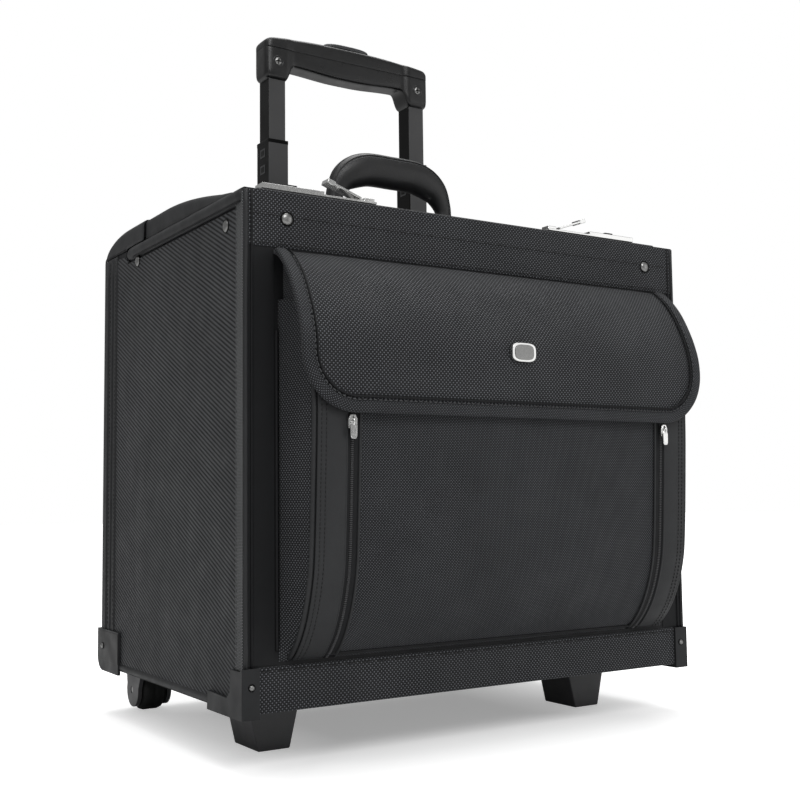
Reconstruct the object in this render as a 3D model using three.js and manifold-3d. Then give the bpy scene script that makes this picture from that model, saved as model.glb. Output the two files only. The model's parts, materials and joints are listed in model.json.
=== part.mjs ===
// Rolling flight case: a soft-covered box case with a hinged lid, a front pocket under a flap,
// a carry handle on the lid and a two-stage telescopic trolley behind it.
// Millimetres, +Z up. The front of the case faces -Y. The origin is on the floor, under the
// centre of the bounding box.
import * as THREE from "three";
import { mergeVertices } from "three/addons/utils/BufferGeometryUtils.js";
import Module from "manifold-3d";

const wasm = await Module();
wasm.setup();

// ---- driving dimensions -------------------------------------------------------------------
const GAP = 0.3; // between pieces that touch
const WALL = 7; // padded board of the panels

const HALF_WIDTH = 230;
const FRONT_Y = -165;
const REAR_Y = 165;
const BOTTOM_Z = 44; // underside of the case, at the height of the feet
const BASE_TOP_Z = 52;
const FRONT_TOP_Z = 447;

const RIM_RADIUS = 6.5; // padded roll along the top of each side
const RIM_Z = 440.8;
const RIM_REAR_Y = 103;
const LEDGE_Z = RIM_Z + RIM_RADIUS + GAP; // underside of what lies over the roll

const HINGE_Y = 56.5; // soft hinge between the lid and the rear deck
const LID_TOP_Z = 468;
const REAR_TOP_Z = 446; // where the rear deck rolls over onto the rear panel
const LID_THICKNESS = 6;
const LID_HALF_WIDTH = 228;
const LID_BODY_HALF_WIDTH = 219.5; // part of the lid that drops between the side rolls
const LID_FRONT_Y = -136;
const LID_FRONT_Z = 449;
const LID_CREST_Y = 15;
const DECK_FLAT_REAR_Y = 97;

const RAIL_TOP_Z = 450;

const TROLLEY_Y = 78;
const TUBE_X = 85; // centre of each trolley leg
const OUTER_TUBE = { width: 26, depth: 31, wall: 1.3, bottom: 74.6, top: 467 };
const MIDDLE_TUBE = { width: 22, depth: 27, wall: 1.1, bottom: 194, top: 566 };
const INNER_TUBE = { width: 19, depth: 21, wall: 1.2, bottom: 282, top: 642 };
const COLLAR_HEIGHT = 3;

const GRIP_BOTTOM_Z = 632;
const GRIP_TOP_Z = 682;
const GRIP_HALF_WIDTH = 99;
const GRIP_DEPTH = 28;
const GRIP_PARTING_Z = 666;
const GRIP_UNDERSIDE_Z = 649;
const SOCKET_WIDTH = 27;

const HANDLE_Y = -12;
const HANDLE_HALF_WIDTH = 72.5;
const HANDLE_LEG = 16.5;
const HANDLE_FOOT_Z = 474;
const HANDLE_FOOT_DEPTH = 13;
const HANDLE_TOP_Z = 544;
const HANDLE_DEPTH = 25;

const POCKET_HALF_WIDTH = 196;
const POCKET_THICKNESS = 4;
const POCKET_FRONT_Y = -211;
const POCKET_TOP_Z = 360;
const ZIP_X = 163; // centre of each zip
const ZIP_WIDTH = 9;
const ZIP_THICKNESS = 1.6;
const FLAP_HALF_WIDTH = 208;
const FLAP_THICKNESS = 5;
const FLAP_SEAM_Z = 401;
const FLAP_FRONT_Y = -219;
const FLAP_BOTTOM_Z = 270;
const FLAP_CORNER = 46;
const BADGE = { x: -3, z: 324, width: 25, height: 16, thickness: 1.8 };

const LOCK_Y = -150;
const LOCK_DEPTH = 13.5;
const LOCK_CENTRE_X = -11; // the pair of locks sits a little left of the centre plane
const LOCK_END_X = 199; // this and the next four are distances from LOCK_CENTRE_X
const LOCK_BUTTON_X = 171;
const HASP_PIVOT_X = 109;
const STRIKE_NEAR_X = 124;
const STRIKE_FAR_X = 141;
const LOCK_TOP_Z = 454.8;
const HASP_LENGTH = 32;
const HASP_OPEN_ANGLE = THREE.MathUtils.degToRad(19);
const HASP_Z = 453.6;

const WHEEL_RADIUS = 20;
const WHEEL_WIDTH = 24;
const WHEEL_X = 187;
const WHEEL_Y = 150;
const AXLE_RADIUS = 3;
const FOOT_X = 169.5;

const BOX_FRONT_Y = FLAP_FRONT_Y - GAP - BADGE.thickness;
const BOX_REAR_Y = WHEEL_Y + WHEEL_RADIUS;

// ---- materials ----------------------------------------------------------------------------
const material = (color, roughness, metalness = 0) =>
  new THREE.MeshStandardMaterial({ color, roughness, metalness });
const weave = () => material(0x35373b, 0.8);
const binding = () => material(0x2a2c2f, 0.6);
const leather = () => material(0x232427, 0.45);
const plastic = () => material(0x232325, 0.5);
const guardPlastic = () => material(0x4a4b4d, 0.5);
const blackMetal = () => material(0x1c1c1e, 0.35, 0.8);
const brightMetal = () => material(0xb8b8ba, 0.25, 1);
const rubber = () => material(0x161616, 0.85);

// ---- geometry helpers ---------------------------------------------------------------------
function box(x0, x1, y0, y1, z0, z1) {
  const geometry = new THREE.BoxGeometry(x1 - x0, y1 - y0, z1 - z0);
  return geometry.translate((x0 + x1) / 2, (y0 + y1) / 2, (z0 + z1) / 2);
}

function shapeOf(points) {
  return new THREE.Shape(points.map(([u, v]) => new THREE.Vector2(u, v)));
}

function roundedOutline(u0, u1, v0, v1, [lowLeft, lowRight, highRight, highLeft]) {
  const shape = new THREE.Shape();
  shape.moveTo(u0 + lowLeft, v0);
  shape.lineTo(u1 - lowRight, v0);
  if (lowRight) shape.absarc(u1 - lowRight, v0 + lowRight, lowRight, -Math.PI / 2, 0);
  shape.lineTo(u1, v1 - highRight);
  if (highRight) shape.absarc(u1 - highRight, v1 - highRight, highRight, 0, Math.PI / 2);
  shape.lineTo(u0 + highLeft, v1);
  if (highLeft) shape.absarc(u0 + highLeft, v1 - highLeft, highLeft, Math.PI / 2, Math.PI);
  shape.lineTo(u0, v0 + lowLeft);
  if (lowLeft) shape.absarc(u0 + lowLeft, v0 + lowLeft, lowLeft, Math.PI, Math.PI * 1.5);
  return shape;
}

// The bevel takes `bevel` off the edges of both ends, inside the given length.
function extrude(shape, length, bevel, segments) {
  return new THREE.ExtrudeGeometry(shape, {
    depth: length - 2 * bevel,
    bevelEnabled: bevel > 0,
    bevelThickness: bevel,
    bevelSize: bevel,
    bevelOffset: -bevel,
    bevelSegments: 1,
    curveSegments: segments,
  }).translate(0, 0, bevel);
}

// An outline of (y, z) points, from x0 to x1.
function extrudeX(shape, x0, x1, { bevel = 0, segments = 5 } = {}) {
  const turn = new THREE.Matrix4().makeBasis(
    new THREE.Vector3(0, 1, 0),
    new THREE.Vector3(0, 0, 1),
    new THREE.Vector3(1, 0, 0),
  );
  return extrude(shape, x1 - x0, bevel, segments).applyMatrix4(turn).translate(x0, 0, 0);
}

// An outline of (x, z) points, from y0 to y1.
function extrudeY(shape, y0, y1, { bevel = 0, segments = 5 } = {}) {
  return extrude(shape, y1 - y0, bevel, segments).rotateX(Math.PI / 2).translate(0, y1, 0);
}

// An outline of (x, y) points, from z0 to z1.
function extrudeZ(shape, z0, z1, { bevel = 0, segments = 5 } = {}) {
  return extrude(shape, z1 - z0, bevel, segments).translate(0, 0, z0);
}

function cylinderX(radius, x0, x1, y, z, segments = 16) {
  const geometry = new THREE.CylinderGeometry(radius, radius, x1 - x0, segments);
  return geometry.rotateZ(Math.PI / 2).translate((x0 + x1) / 2, y, z);
}

function cylinderY(radius, y0, y1, x, z, segments = 12) {
  const geometry = new THREE.CylinderGeometry(radius, radius, y1 - y0, segments);
  return geometry.translate(x, (y0 + y1) / 2, z);
}

function solidOf(geometry) {
  const bare = new THREE.BufferGeometry();
  bare.setAttribute("position", geometry.getAttribute("position"));
  if (geometry.index) bare.setIndex(geometry.index);
  const merged = mergeVertices(bare, 1e-4);
  return new wasm.Manifold(new wasm.Mesh({
    numProp: 3,
    vertProperties: new Float32Array(merged.getAttribute("position").array),
    triVerts: new Uint32Array(merged.index.array),
  }));
}

function geometryOf(solid) {
  const mesh = solid.getMesh();
  const geometry = new THREE.BufferGeometry();
  geometry.setAttribute("position", new THREE.BufferAttribute(mesh.vertProperties, 3));
  geometry.setIndex(new THREE.BufferAttribute(mesh.triVerts, 1));
  return geometry;
}

function join(...geometries) {
  return geometryOf(geometries.map(solidOf).reduce((whole, piece) => whole.add(piece)));
}

function cut(geometry, ...tools) {
  return geometryOf(tools.map(solidOf).reduce((rest, tool) => rest.subtract(tool), solidOf(geometry)));
}

function common(first, second) {
  return geometryOf(solidOf(first).intersect(solidOf(second)));
}

// ---- assembly helpers ---------------------------------------------------------------------
const flightCase = new THREE.Group();
const sides = [["left", -1], ["right", 1]];

function add(name, geometry, look) {
  const mesh = new THREE.Mesh(geometry, look);
  mesh.name = name;
  flightCase.add(mesh);
  return mesh;
}

// Low and high X of a span that lies between two distances from the centre plane.
function spanX(sign, near, far) {
  return sign < 0 ? [-far, -near] : [near, far];
}

// ---- shell --------------------------------------------------------------------------------
function addPanels() {
  const wallBottom = BASE_TOP_Z + GAP;
  add("base_board", box(-HALF_WIDTH, HALF_WIDTH, FRONT_Y, REAR_Y, BOTTOM_Z, BASE_TOP_Z), binding());
  const frontOutline = roundedOutline(FRONT_Y, FRONT_Y + WALL, wallBottom, FRONT_TOP_Z, [0, 0, 2, 4]);
  add("front_panel", extrudeX(frontOutline, -HALF_WIDTH, HALF_WIDTH), weave());
  add("rear_panel", box(-HALF_WIDTH, HALF_WIDTH, REAR_Y - WALL, REAR_Y, wallBottom, REAR_TOP_Z), weave());
  const low = FRONT_Y + WALL + GAP;
  const high = REAR_Y - WALL - GAP;
  const sideOutline = shapeOf([
    [low, wallBottom],
    [high, wallBottom],
    [high, REAR_TOP_Z],
    [RIM_REAR_Y + GAP, REAR_TOP_Z],
    [RIM_REAR_Y + GAP, RIM_Z - RIM_RADIUS - GAP],
    [low, RIM_Z - RIM_RADIUS - GAP],
  ]);
  for (const [side, sign] of sides) {
    const [x0, x1] = spanX(sign, HALF_WIDTH - WALL, HALF_WIDTH);
    add(`side_panel_${side}`, extrudeX(sideOutline, x0, x1), weave());
    const rim = cylinderY(RIM_RADIUS, low, RIM_REAR_Y, sign * (HALF_WIDTH - WALL / 2), RIM_Z);
    add(`side_rim_${side}`, rim, binding());
  }
}

// Outer line of the arched top, from the lid's front edge to the rear edge.
function archHeight(y) {
  const t = THREE.MathUtils.clamp((y - LID_FRONT_Y) / (LID_CREST_Y - LID_FRONT_Y), 0, 1);
  return LID_FRONT_Z + (LID_TOP_Z - LID_FRONT_Z) * Math.sin((t * Math.PI) / 2);
}

function archLine() {
  const steps = 8;
  const line = [];
  for (let i = 0; i <= steps; i += 1) {
    const y = LID_FRONT_Y + (i / steps) * (LID_CREST_Y - LID_FRONT_Y);
    line.push([y, archHeight(y)]);
  }
  line.push([HINGE_Y - GAP, LID_TOP_Z]);
  return line;
}

// The lid is an arched board with a skirt between the side rolls and a ledge over each roll.
function addLid() {
  const top = archLine();
  const under = top.map(([y, z]) => [y, z - LID_THICKNESS]).reverse();
  const plate = extrudeX(shapeOf([...top, ...under]), -LID_BODY_HALF_WIDTH, LID_BODY_HALF_WIDTH);
  const rear = HINGE_Y - GAP;
  const skirtBottom = RIM_Z + 5;
  const skirt = shapeOf([
    [LID_FRONT_Y, skirtBottom - 1],
    [rear - 4, skirtBottom],
    [rear - 4, LID_TOP_Z - 2],
    [0, LID_TOP_Z - 2],
    [-90, archHeight(-90) - 2],
    [LID_FRONT_Y, LID_FRONT_Z - 2],
  ]);
  const ledge = shapeOf([...top, [rear, LEDGE_Z], [LID_FRONT_Y, LEDGE_Z]]);
  const edge = 5.5;
  const rims = sides.flatMap(([, sign]) => [
    extrudeX(skirt, ...spanX(sign, LID_BODY_HALF_WIDTH - edge, LID_BODY_HALF_WIDTH)),
    extrudeX(ledge, ...spanX(sign, LID_BODY_HALF_WIDTH - 1, LID_HALF_WIDTH)),
  ]);
  add("lid_panel", join(plate, ...rims), weave());
}

function addRearDeck() {
  const front = HINGE_Y + GAP;
  const shape = new THREE.Shape();
  const seat = REAR_TOP_Z + GAP;
  const inside = REAR_Y - LID_THICKNESS;
  const under = LID_TOP_Z - LID_THICKNESS;
  const crown = DECK_FLAT_REAR_Y + 30;
  shape.moveTo(front, LID_TOP_Z);
  shape.lineTo(DECK_FLAT_REAR_Y, LID_TOP_Z);
  shape.bezierCurveTo(crown, LID_TOP_Z, REAR_Y, LID_TOP_Z - 5, REAR_Y, seat);
  shape.lineTo(inside, seat);
  shape.bezierCurveTo(inside, seat + 12, crown, under, DECK_FLAT_REAR_Y, under);
  shape.lineTo(front, under);
  const cheek = shapeOf([
    [front, LEDGE_Z],
    [RIM_REAR_Y + 2 * GAP, LEDGE_Z],
    [RIM_REAR_Y + 2 * GAP, seat],
    [REAR_Y - 2, seat],
    [REAR_Y - 8, seat + 9],
    [DECK_FLAT_REAR_Y + 6, LID_TOP_Z - 3],
    [front, LID_TOP_Z - 3],
  ]);
  const plate = extrudeX(shape, -HALF_WIDTH, HALF_WIDTH);
  const cheeks = sides.map(([, sign]) => extrudeX(cheek, ...spanX(sign, HALF_WIDTH - WALL, HALF_WIDTH)));
  const holes = sides.map(([, sign]) => {
    const halfWidth = OUTER_TUBE.width / 2 + GAP;
    const halfDepth = OUTER_TUBE.depth / 2 + GAP;
    const x = sign * TUBE_X;
    const low = LID_TOP_Z - 20;
    const high = LID_TOP_Z + 20;
    return box(x - halfWidth, x + halfWidth, TROLLEY_Y - halfDepth, TROLLEY_Y + halfDepth, low, high);
  });
  add("rear_deck", cut(join(plate, ...cheeks), ...holes), binding());
}

function addInside() {
  const wallOutline = [-LID_BODY_HALF_WIDTH, LID_BODY_HALF_WIDTH, HINGE_Y + 0.5, HINGE_Y + 3];
  add("inner_rear_wall", box(...wallOutline, BASE_TOP_Z + GAP, LID_TOP_Z - 8), binding());
  const front = FRONT_Y + WALL + GAP;
  add("front_rail", box(-215, 215, front, LID_FRONT_Y - 1, RAIL_TOP_Z - 12, RAIL_TOP_Z), binding());
}

// ---- corners, feet and wheels -------------------------------------------------------------
function addCornerGuards() {
  const proud = 2.5;
  const outer = HALF_WIDTH + GAP + proud;
  const under = BOTTOM_Z - GAP - proud;
  const frontFace = FRONT_Y - GAP - proud;
  const rearFace = REAR_Y + GAP + proud;
  for (const [side, sign] of sides) {
    const [s0, s1] = spanX(sign, outer - proud, outer);
    const [f0, f1] = spanX(sign, outer - 15, outer);
    const [r0, r1] = spanX(sign, outer - 28, outer);
    const frontSide = shapeOf([
      [frontFace, under],
      [-103, under],
      [-104, 56],
      [-140, 55],
      [-146, 60],
      [-147, 77],
      [frontFace, 77],
    ]);
    const frontCorners = sign < 0 ? [7, 0, 0, 0] : [0, 7, 0, 0];
    const frontStrip = roundedOutline(f0, f1, under, 79, frontCorners);
    add(`corner_guard_front_${side}`, join(
      extrudeX(frontSide, s0, s1),
      extrudeY(frontStrip, frontFace, frontFace + proud),
      box(...spanX(sign, outer - 15, outer - 3), frontFace, -104, under, under + proud),
    ), guardPlastic());
    const rearSide = roundedOutline(108, rearFace, under, 81, [0, 14, 0, 0]);
    const rearCorners = sign < 0 ? [7, 0, 0, 0] : [0, 7, 0, 0];
    const rearStrip = roundedOutline(r0, r1, under + 8, 81, rearCorners);
    add(`corner_guard_rear_${side}`, join(
      extrudeX(rearSide, s0, s1),
      extrudeY(rearStrip, rearFace - proud, rearFace),
    ), guardPlastic());
  }
}

function addFeet() {
  for (const [side, sign] of sides) {
    const x = sign * FOOT_X;
    const top = BOTTOM_Z - GAP;
    const shape = new THREE.Shape();
    shape.moveTo(x - 14.5, 0);
    shape.lineTo(x + 14.5, 0);
    shape.lineTo(x + 22, top - 12);
    shape.quadraticCurveTo(x + 24, top - 3, x + 36, top - 2.5);
    shape.lineTo(x + 36, top);
    shape.lineTo(x - 36, top);
    shape.lineTo(x - 36, top - 2.5);
    shape.quadraticCurveTo(x - 24, top - 3, x - 22, top - 12);
    add(`foot_${side}`, extrudeY(shape, -94, -48, { segments: 4 }), plastic());
  }
}

function addWheels() {
  const cheek = 4;
  const inner = WHEEL_X - WHEEL_WIDTH / 2 - 1;
  const outer = WHEEL_X + WHEEL_WIDTH / 2 + 1;
  const top = BOTTOM_Z - GAP;
  for (const [side, sign] of sides) {
    const outline = new THREE.Shape();
    outline.moveTo(104, top);
    outline.lineTo(104, top - 3);
    outline.lineTo(124, top - 4);
    outline.absarc(WHEEL_Y - 2, WHEEL_RADIUS, 16, Math.PI * 0.95, Math.PI * 2.1);
    outline.lineTo(166, top - 3);
    outline.lineTo(166, top);
    const flange = box(...spanX(sign, inner - cheek, outer + cheek), 104, 166, top - 2.6, top);
    const innerCheek = extrudeX(outline, ...spanX(sign, inner - cheek, inner), { segments: 7 });
    const outerCheek = extrudeX(outline, ...spanX(sign, outer, outer + cheek), { segments: 7 });
    const span = spanX(sign, inner - cheek - 1, outer + cheek + 1);
    const bore = cylinderX(AXLE_RADIUS + GAP, ...span, WHEEL_Y, WHEEL_RADIUS, 12);
    add(`wheel_housing_${side}`, cut(join(flange, innerCheek, outerCheek), bore), plastic());
    const axleSpan = spanX(sign, inner - cheek + 0.5, outer + cheek - 0.5);
    add(`wheel_axle_${side}`, cylinderX(AXLE_RADIUS, ...axleSpan, WHEEL_Y, WHEEL_RADIUS, 12), brightMetal());
    const wheelSpan = spanX(sign, WHEEL_X - WHEEL_WIDTH / 2, WHEEL_X + WHEEL_WIDTH / 2);
    const reach = [wheelSpan[0] - 1, wheelSpan[1] + 1];
    const hubRadius = 12;
    add(`wheel_tyre_${side}`, cut(
      cylinderX(WHEEL_RADIUS, ...wheelSpan, WHEEL_Y, WHEEL_RADIUS, 24),
      cylinderX(hubRadius + GAP, ...reach, WHEEL_Y, WHEEL_RADIUS, 24),
    ), rubber());
    add(`wheel_hub_${side}`, cut(
      cylinderX(hubRadius, ...wheelSpan, WHEEL_Y, WHEEL_RADIUS, 24),
      cylinderX(AXLE_RADIUS + GAP, ...reach, WHEEL_Y, WHEEL_RADIUS, 12),
    ), plastic());
  }
}

// ---- trolley ------------------------------------------------------------------------------
function rectangle(x, y, width, depth, Type) {
  const path = new Type();
  path.moveTo(x - width / 2, y - depth / 2);
  path.lineTo(x + width / 2, y - depth / 2);
  path.lineTo(x + width / 2, y + depth / 2);
  path.lineTo(x - width / 2, y + depth / 2);
  return path;
}

function tube(x, { width, depth, wall, bottom, top }) {
  const shape = rectangle(x, TROLLEY_Y, width, depth, THREE.Shape);
  shape.holes.push(rectangle(x, TROLLEY_Y, width - 2 * wall, depth - 2 * wall, THREE.Path));
  return extrudeZ(shape, bottom, top);
}

function addTrolleyBase() {
  const bracketTop = OUTER_TUBE.bottom - GAP;
  const bracketReach = TUBE_X + 18;
  const bracketRear = TROLLEY_Y + 18;
  const bracketSpan = [-bracketReach, bracketReach, HINGE_Y + 3.3, bracketRear];
  const bracket = box(...bracketSpan, BASE_TOP_Z + GAP, bracketTop);
  add("trolley_base_bracket", bracket, plastic());
  for (const [side, sign] of sides) {
    add(`trolley_outer_tube_${side}`, tube(sign * TUBE_X, OUTER_TUBE), blackMetal());
  }
  const reach = TUBE_X + 20;
  const bezel = box(-reach, reach, TROLLEY_Y - 18, TROLLEY_Y + 18, LID_TOP_Z + GAP, LID_TOP_Z + 4);
  const holes = sides.map(([, sign]) => {
    const { width, depth } = MIDDLE_TUBE;
    const hole = rectangle(sign * TUBE_X, TROLLEY_Y, width + 1, depth + 1, THREE.Shape);
    return extrudeZ(hole, LID_TOP_Z - 1, LID_TOP_Z + 5);
  });
  add("trolley_bezel", cut(bezel, ...holes), plastic());
}

function addTrolleyStages() {
  for (const [side, sign] of sides) {
    const x = sign * TUBE_X;
    const collarBottom = MIDDLE_TUBE.top + GAP;
    const collarTop = collarBottom + COLLAR_HEIGHT;
    add(`trolley_middle_tube_${side}`, tube(x, MIDDLE_TUBE), blackMetal());
    const collar = rectangle(x, TROLLEY_Y, MIDDLE_TUBE.width, MIDDLE_TUBE.depth, THREE.Shape);
    collar.holes.push(rectangle(x, TROLLEY_Y, INNER_TUBE.width + 0.8, INNER_TUBE.depth + 0.8, THREE.Path));
    add(`trolley_collar_${side}`, extrudeZ(collar, collarBottom, collarTop), plastic());
    add(`trolley_inner_tube_${side}`, tube(x, INNER_TUBE), blackMetal());
  }
}

function gripLowerOutline() {
  const shape = new THREE.Shape();
  const socket = GRIP_HALF_WIDTH - SOCKET_WIDTH;
  shape.moveTo(-GRIP_HALF_WIDTH + 3, GRIP_BOTTOM_Z);
  shape.lineTo(-socket - 3, GRIP_BOTTOM_Z);
  shape.lineTo(-socket, GRIP_BOTTOM_Z + 4);
  shape.quadraticCurveTo(-socket + 1, GRIP_UNDERSIDE_Z, -socket + 8, GRIP_UNDERSIDE_Z);
  shape.quadraticCurveTo(0, GRIP_UNDERSIDE_Z - 5, socket - 8, GRIP_UNDERSIDE_Z);
  shape.quadraticCurveTo(socket - 1, GRIP_UNDERSIDE_Z, socket, GRIP_BOTTOM_Z + 4);
  shape.lineTo(socket + 3, GRIP_BOTTOM_Z);
  shape.lineTo(GRIP_HALF_WIDTH - 3, GRIP_BOTTOM_Z);
  shape.lineTo(GRIP_HALF_WIDTH, GRIP_BOTTOM_Z + 10);
  shape.lineTo(GRIP_HALF_WIDTH, GRIP_PARTING_Z - GAP / 2);
  shape.lineTo(-GRIP_HALF_WIDTH, GRIP_PARTING_Z - GAP / 2);
  shape.lineTo(-GRIP_HALF_WIDTH, GRIP_BOTTOM_Z + 10);
  return shape;
}

function gripUpperOutline() {
  const shape = new THREE.Shape();
  const low = GRIP_PARTING_Z + GAP / 2;
  const half = GRIP_HALF_WIDTH;
  const shoulder = GRIP_TOP_Z - 7;
  shape.moveTo(-half, low);
  shape.lineTo(half, low);
  shape.bezierCurveTo(half, shoulder - 2, half - 6, shoulder, half - 16, shoulder + 1);
  shape.quadraticCurveTo(40, GRIP_TOP_Z, 0, GRIP_TOP_Z);
  shape.quadraticCurveTo(-40, GRIP_TOP_Z, -half + 16, shoulder + 1);
  shape.bezierCurveTo(-half + 6, shoulder, -half, shoulder - 2, -half, low);
  return shape;
}

function addGrip() {
  const front = TROLLEY_Y - GRIP_DEPTH / 2;
  const rear = TROLLEY_Y + GRIP_DEPTH / 2;
  const tubeWells = sides.map(([, sign]) => box(
    sign * TUBE_X - INNER_TUBE.width / 2 - GAP,
    sign * TUBE_X + INNER_TUBE.width / 2 + GAP,
    TROLLEY_Y - INNER_TUBE.depth / 2 - GAP,
    TROLLEY_Y + INNER_TUBE.depth / 2 + GAP,
    GRIP_BOTTOM_Z - 1,
    INNER_TUBE.top + GAP,
  ));
  const screwDepth = 1.6;
  const screwZ = GRIP_BOTTOM_Z + 19;
  const screwWells = sides.map(([, sign]) => (
    cylinderY(5, front - 1, front + screwDepth + GAP, sign * TUBE_X, screwZ)
  ));
  const lower = extrudeY(gripLowerOutline(), front, rear, { bevel: 2, segments: 4 });
  add("grip_lower", cut(lower, ...tubeWells, ...screwWells), plastic());
  for (const [side, sign] of sides) {
    const screw = cylinderY(4.6, front, front + screwDepth, sign * TUBE_X, screwZ);
    add(`grip_screw_${side}`, screw, blackMetal());
  }
  const buttonHalf = 27;
  const well = box(-buttonHalf - 0.5, buttonHalf + 0.5, front + 4, rear - 4, GRIP_TOP_Z - 6, GRIP_TOP_Z + 1);
  const upper = extrudeY(gripUpperOutline(), front, rear, { bevel: 2, segments: 5 });
  add("grip_upper", cut(upper, well), plastic());
  const button = new THREE.Shape();
  button.moveTo(-buttonHalf, GRIP_TOP_Z - 1.8);
  button.lineTo(buttonHalf, GRIP_TOP_Z - 1.8);
  button.lineTo(buttonHalf - 2, GRIP_TOP_Z + 4);
  button.lineTo(-buttonHalf + 2, GRIP_TOP_Z + 4);
  add("release_button", extrudeY(button, front + 4.5, rear - 4.5), guardPlastic());
}

// ---- carry handle -------------------------------------------------------------------------
function addCarryHandle() {
  const outer = HANDLE_HALF_WIDTH;
  const inner = HANDLE_HALF_WIDTH - HANDLE_LEG;
  const innerTop = HANDLE_TOP_Z - 33;
  const shape = new THREE.Shape();
  shape.moveTo(-outer, HANDLE_FOOT_Z);
  shape.lineTo(-inner, HANDLE_FOOT_Z);
  shape.lineTo(-inner, HANDLE_FOOT_Z + 16);
  shape.bezierCurveTo(-inner, innerTop - 6, -inner + 8, innerTop, -inner + 22, innerTop);
  shape.lineTo(inner - 22, innerTop);
  shape.bezierCurveTo(inner - 8, innerTop, inner, innerTop - 6, inner, HANDLE_FOOT_Z + 16);
  shape.lineTo(inner, HANDLE_FOOT_Z);
  shape.lineTo(outer, HANDLE_FOOT_Z);
  shape.lineTo(outer, HANDLE_FOOT_Z + 18);
  shape.bezierCurveTo(outer, HANDLE_TOP_Z - 12, outer - 28, HANDLE_TOP_Z, 0, HANDLE_TOP_Z);
  shape.bezierCurveTo(-outer + 28, HANDLE_TOP_Z, -outer, HANDLE_TOP_Z - 12, -outer, HANDLE_FOOT_Z + 18);
  const front = HANDLE_Y - HANDLE_DEPTH / 2;
  const arch = extrudeY(shape, front, front + HANDLE_DEPTH, { bevel: 3, segments: 7 });
  const taper = shapeOf([
    [HANDLE_Y - HANDLE_FOOT_DEPTH / 2, HANDLE_FOOT_Z - 1],
    [HANDLE_Y + HANDLE_FOOT_DEPTH / 2, HANDLE_FOOT_Z - 1],
    [front + HANDLE_DEPTH + 1, HANDLE_FOOT_Z + 32],
    [front + HANDLE_DEPTH + 1, HANDLE_TOP_Z + 1],
    [front - 1, HANDLE_TOP_Z + 1],
    [front - 1, HANDLE_FOOT_Z + 32],
  ]);
  add("carry_handle", common(arch, extrudeX(taper, -outer - 1, outer + 1)), leather());
  const seat = LID_TOP_Z + 0.6;
  for (const [side, sign] of sides) {
    const plate = box(...spanX(sign, inner - 6, outer + 5), HANDLE_Y - 12, HANDLE_Y + 12, seat, seat + 2);
    const ears = [
      box(...spanX(sign, inner - 3, inner - 0.6), HANDLE_Y - 7, HANDLE_Y + 7, seat, seat + 17),
      box(...spanX(sign, outer + 0.6, outer + 3), HANDLE_Y - 7, HANDLE_Y + 7, seat, seat + 17),
    ];
    add(`handle_bracket_${side}`, join(plate, ...ears), brightMetal());
  }
}

// ---- locks --------------------------------------------------------------------------------
// Low and high X of a span between two distances from the centre of the pair of locks.
function lockSpan(sign, near, far) {
  return spanX(sign, near, far).map((x) => x + LOCK_CENTRE_X);
}

// The hasp, with its pivot at the origin: a flat arm with a short tail and a raised head.
function haspGeometry(sign) {
  const half = LOCK_DEPTH / 2 - 1;
  const arm = box(...spanX(sign, -1.6, HASP_LENGTH), -half, half, 0, 1.8);
  const head = box(...spanX(sign, HASP_LENGTH - 7, HASP_LENGTH), -half, half, -0.9, 3);
  return join(arm, head);
}

function addLocks() {
  const y0 = LOCK_Y - LOCK_DEPTH / 2;
  const y1 = LOCK_Y + LOCK_DEPTH / 2;
  const plateLow = RAIL_TOP_Z + GAP;
  const plateHigh = plateLow + 2;
  const boxStart = HASP_PIVOT_X + HASP_LENGTH + 2;
  const strikeFront = y1 + 1.5;
  const strikeRear = y1 + 13;
  const strikeLow = archHeight(strikeRear) + GAP;
  for (const [side, sign] of sides) {
    add(`lock_body_${side}`, join(
      box(...lockSpan(sign, HASP_PIVOT_X - 16, LOCK_END_X), y0, y1, plateLow, plateHigh),
      box(...lockSpan(sign, boxStart, LOCK_END_X), y0, y1, plateLow, LOCK_TOP_Z),
      box(...lockSpan(sign, HASP_PIVOT_X - 15, HASP_PIVOT_X - 5), y0 + 2, y1 - 2, plateLow, HASP_Z + 1.5),
    ), brightMetal());
    const hasp = add(`hasp_${side}`, haspGeometry(sign), brightMetal());
    hasp.position.set(LOCK_CENTRE_X + sign * HASP_PIVOT_X, LOCK_Y, HASP_Z);
    hasp.rotation.y = -sign * HASP_OPEN_ANGLE;
    const buttonSpan = lockSpan(sign, LOCK_BUTTON_X - 5, LOCK_BUTTON_X + 5);
    const button = box(...buttonSpan, LOCK_Y - 3, LOCK_Y + 3, LOCK_TOP_Z + GAP, LOCK_TOP_Z + 2.2);
    add(`lock_button_${side}`, button, blackMetal());
    const strikeSpan = lockSpan(sign, STRIKE_NEAR_X, STRIKE_FAR_X);
    const strike = box(...strikeSpan, strikeFront, strikeRear, strikeLow, strikeLow + 2.2);
    add(`lock_strike_${side}`, strike, brightMetal());
  }
}

function addRivets() {
  for (const [side, sign] of sides) {
    const rivet = cylinderY(5.7, FRONT_Y - GAP - 1.6, FRONT_Y - GAP, sign * 193, 425);
    add(`front_rivet_${side}`, rivet, brightMetal());
  }
}

// ---- front pocket and flap ----------------------------------------------------------------
// Outer line of the pocket in (y, z): out from the case at the bottom, up and back in at the top.
function pocketLine() {
  return [
    [-166, 82],
    [-176, 90],
    [-187, 104],
    [-196, 122],
    [-203, 145],
    [-206, 168],
    [POCKET_FRONT_Y, 272],
    [-210, 306],
    [-203, 338],
    [-193, POCKET_TOP_Z],
  ];
}

// The same line moved in by the pocket's thickness. It rises where the line slopes.
function pocketInnerLine() {
  return pocketLine().slice(1).map(([y, z], i) => {
    const rise = i < 4 ? POCKET_THICKNESS * 0.8 : 0;
    return [y + POCKET_THICKNESS, z + rise];
  });
}

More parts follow.
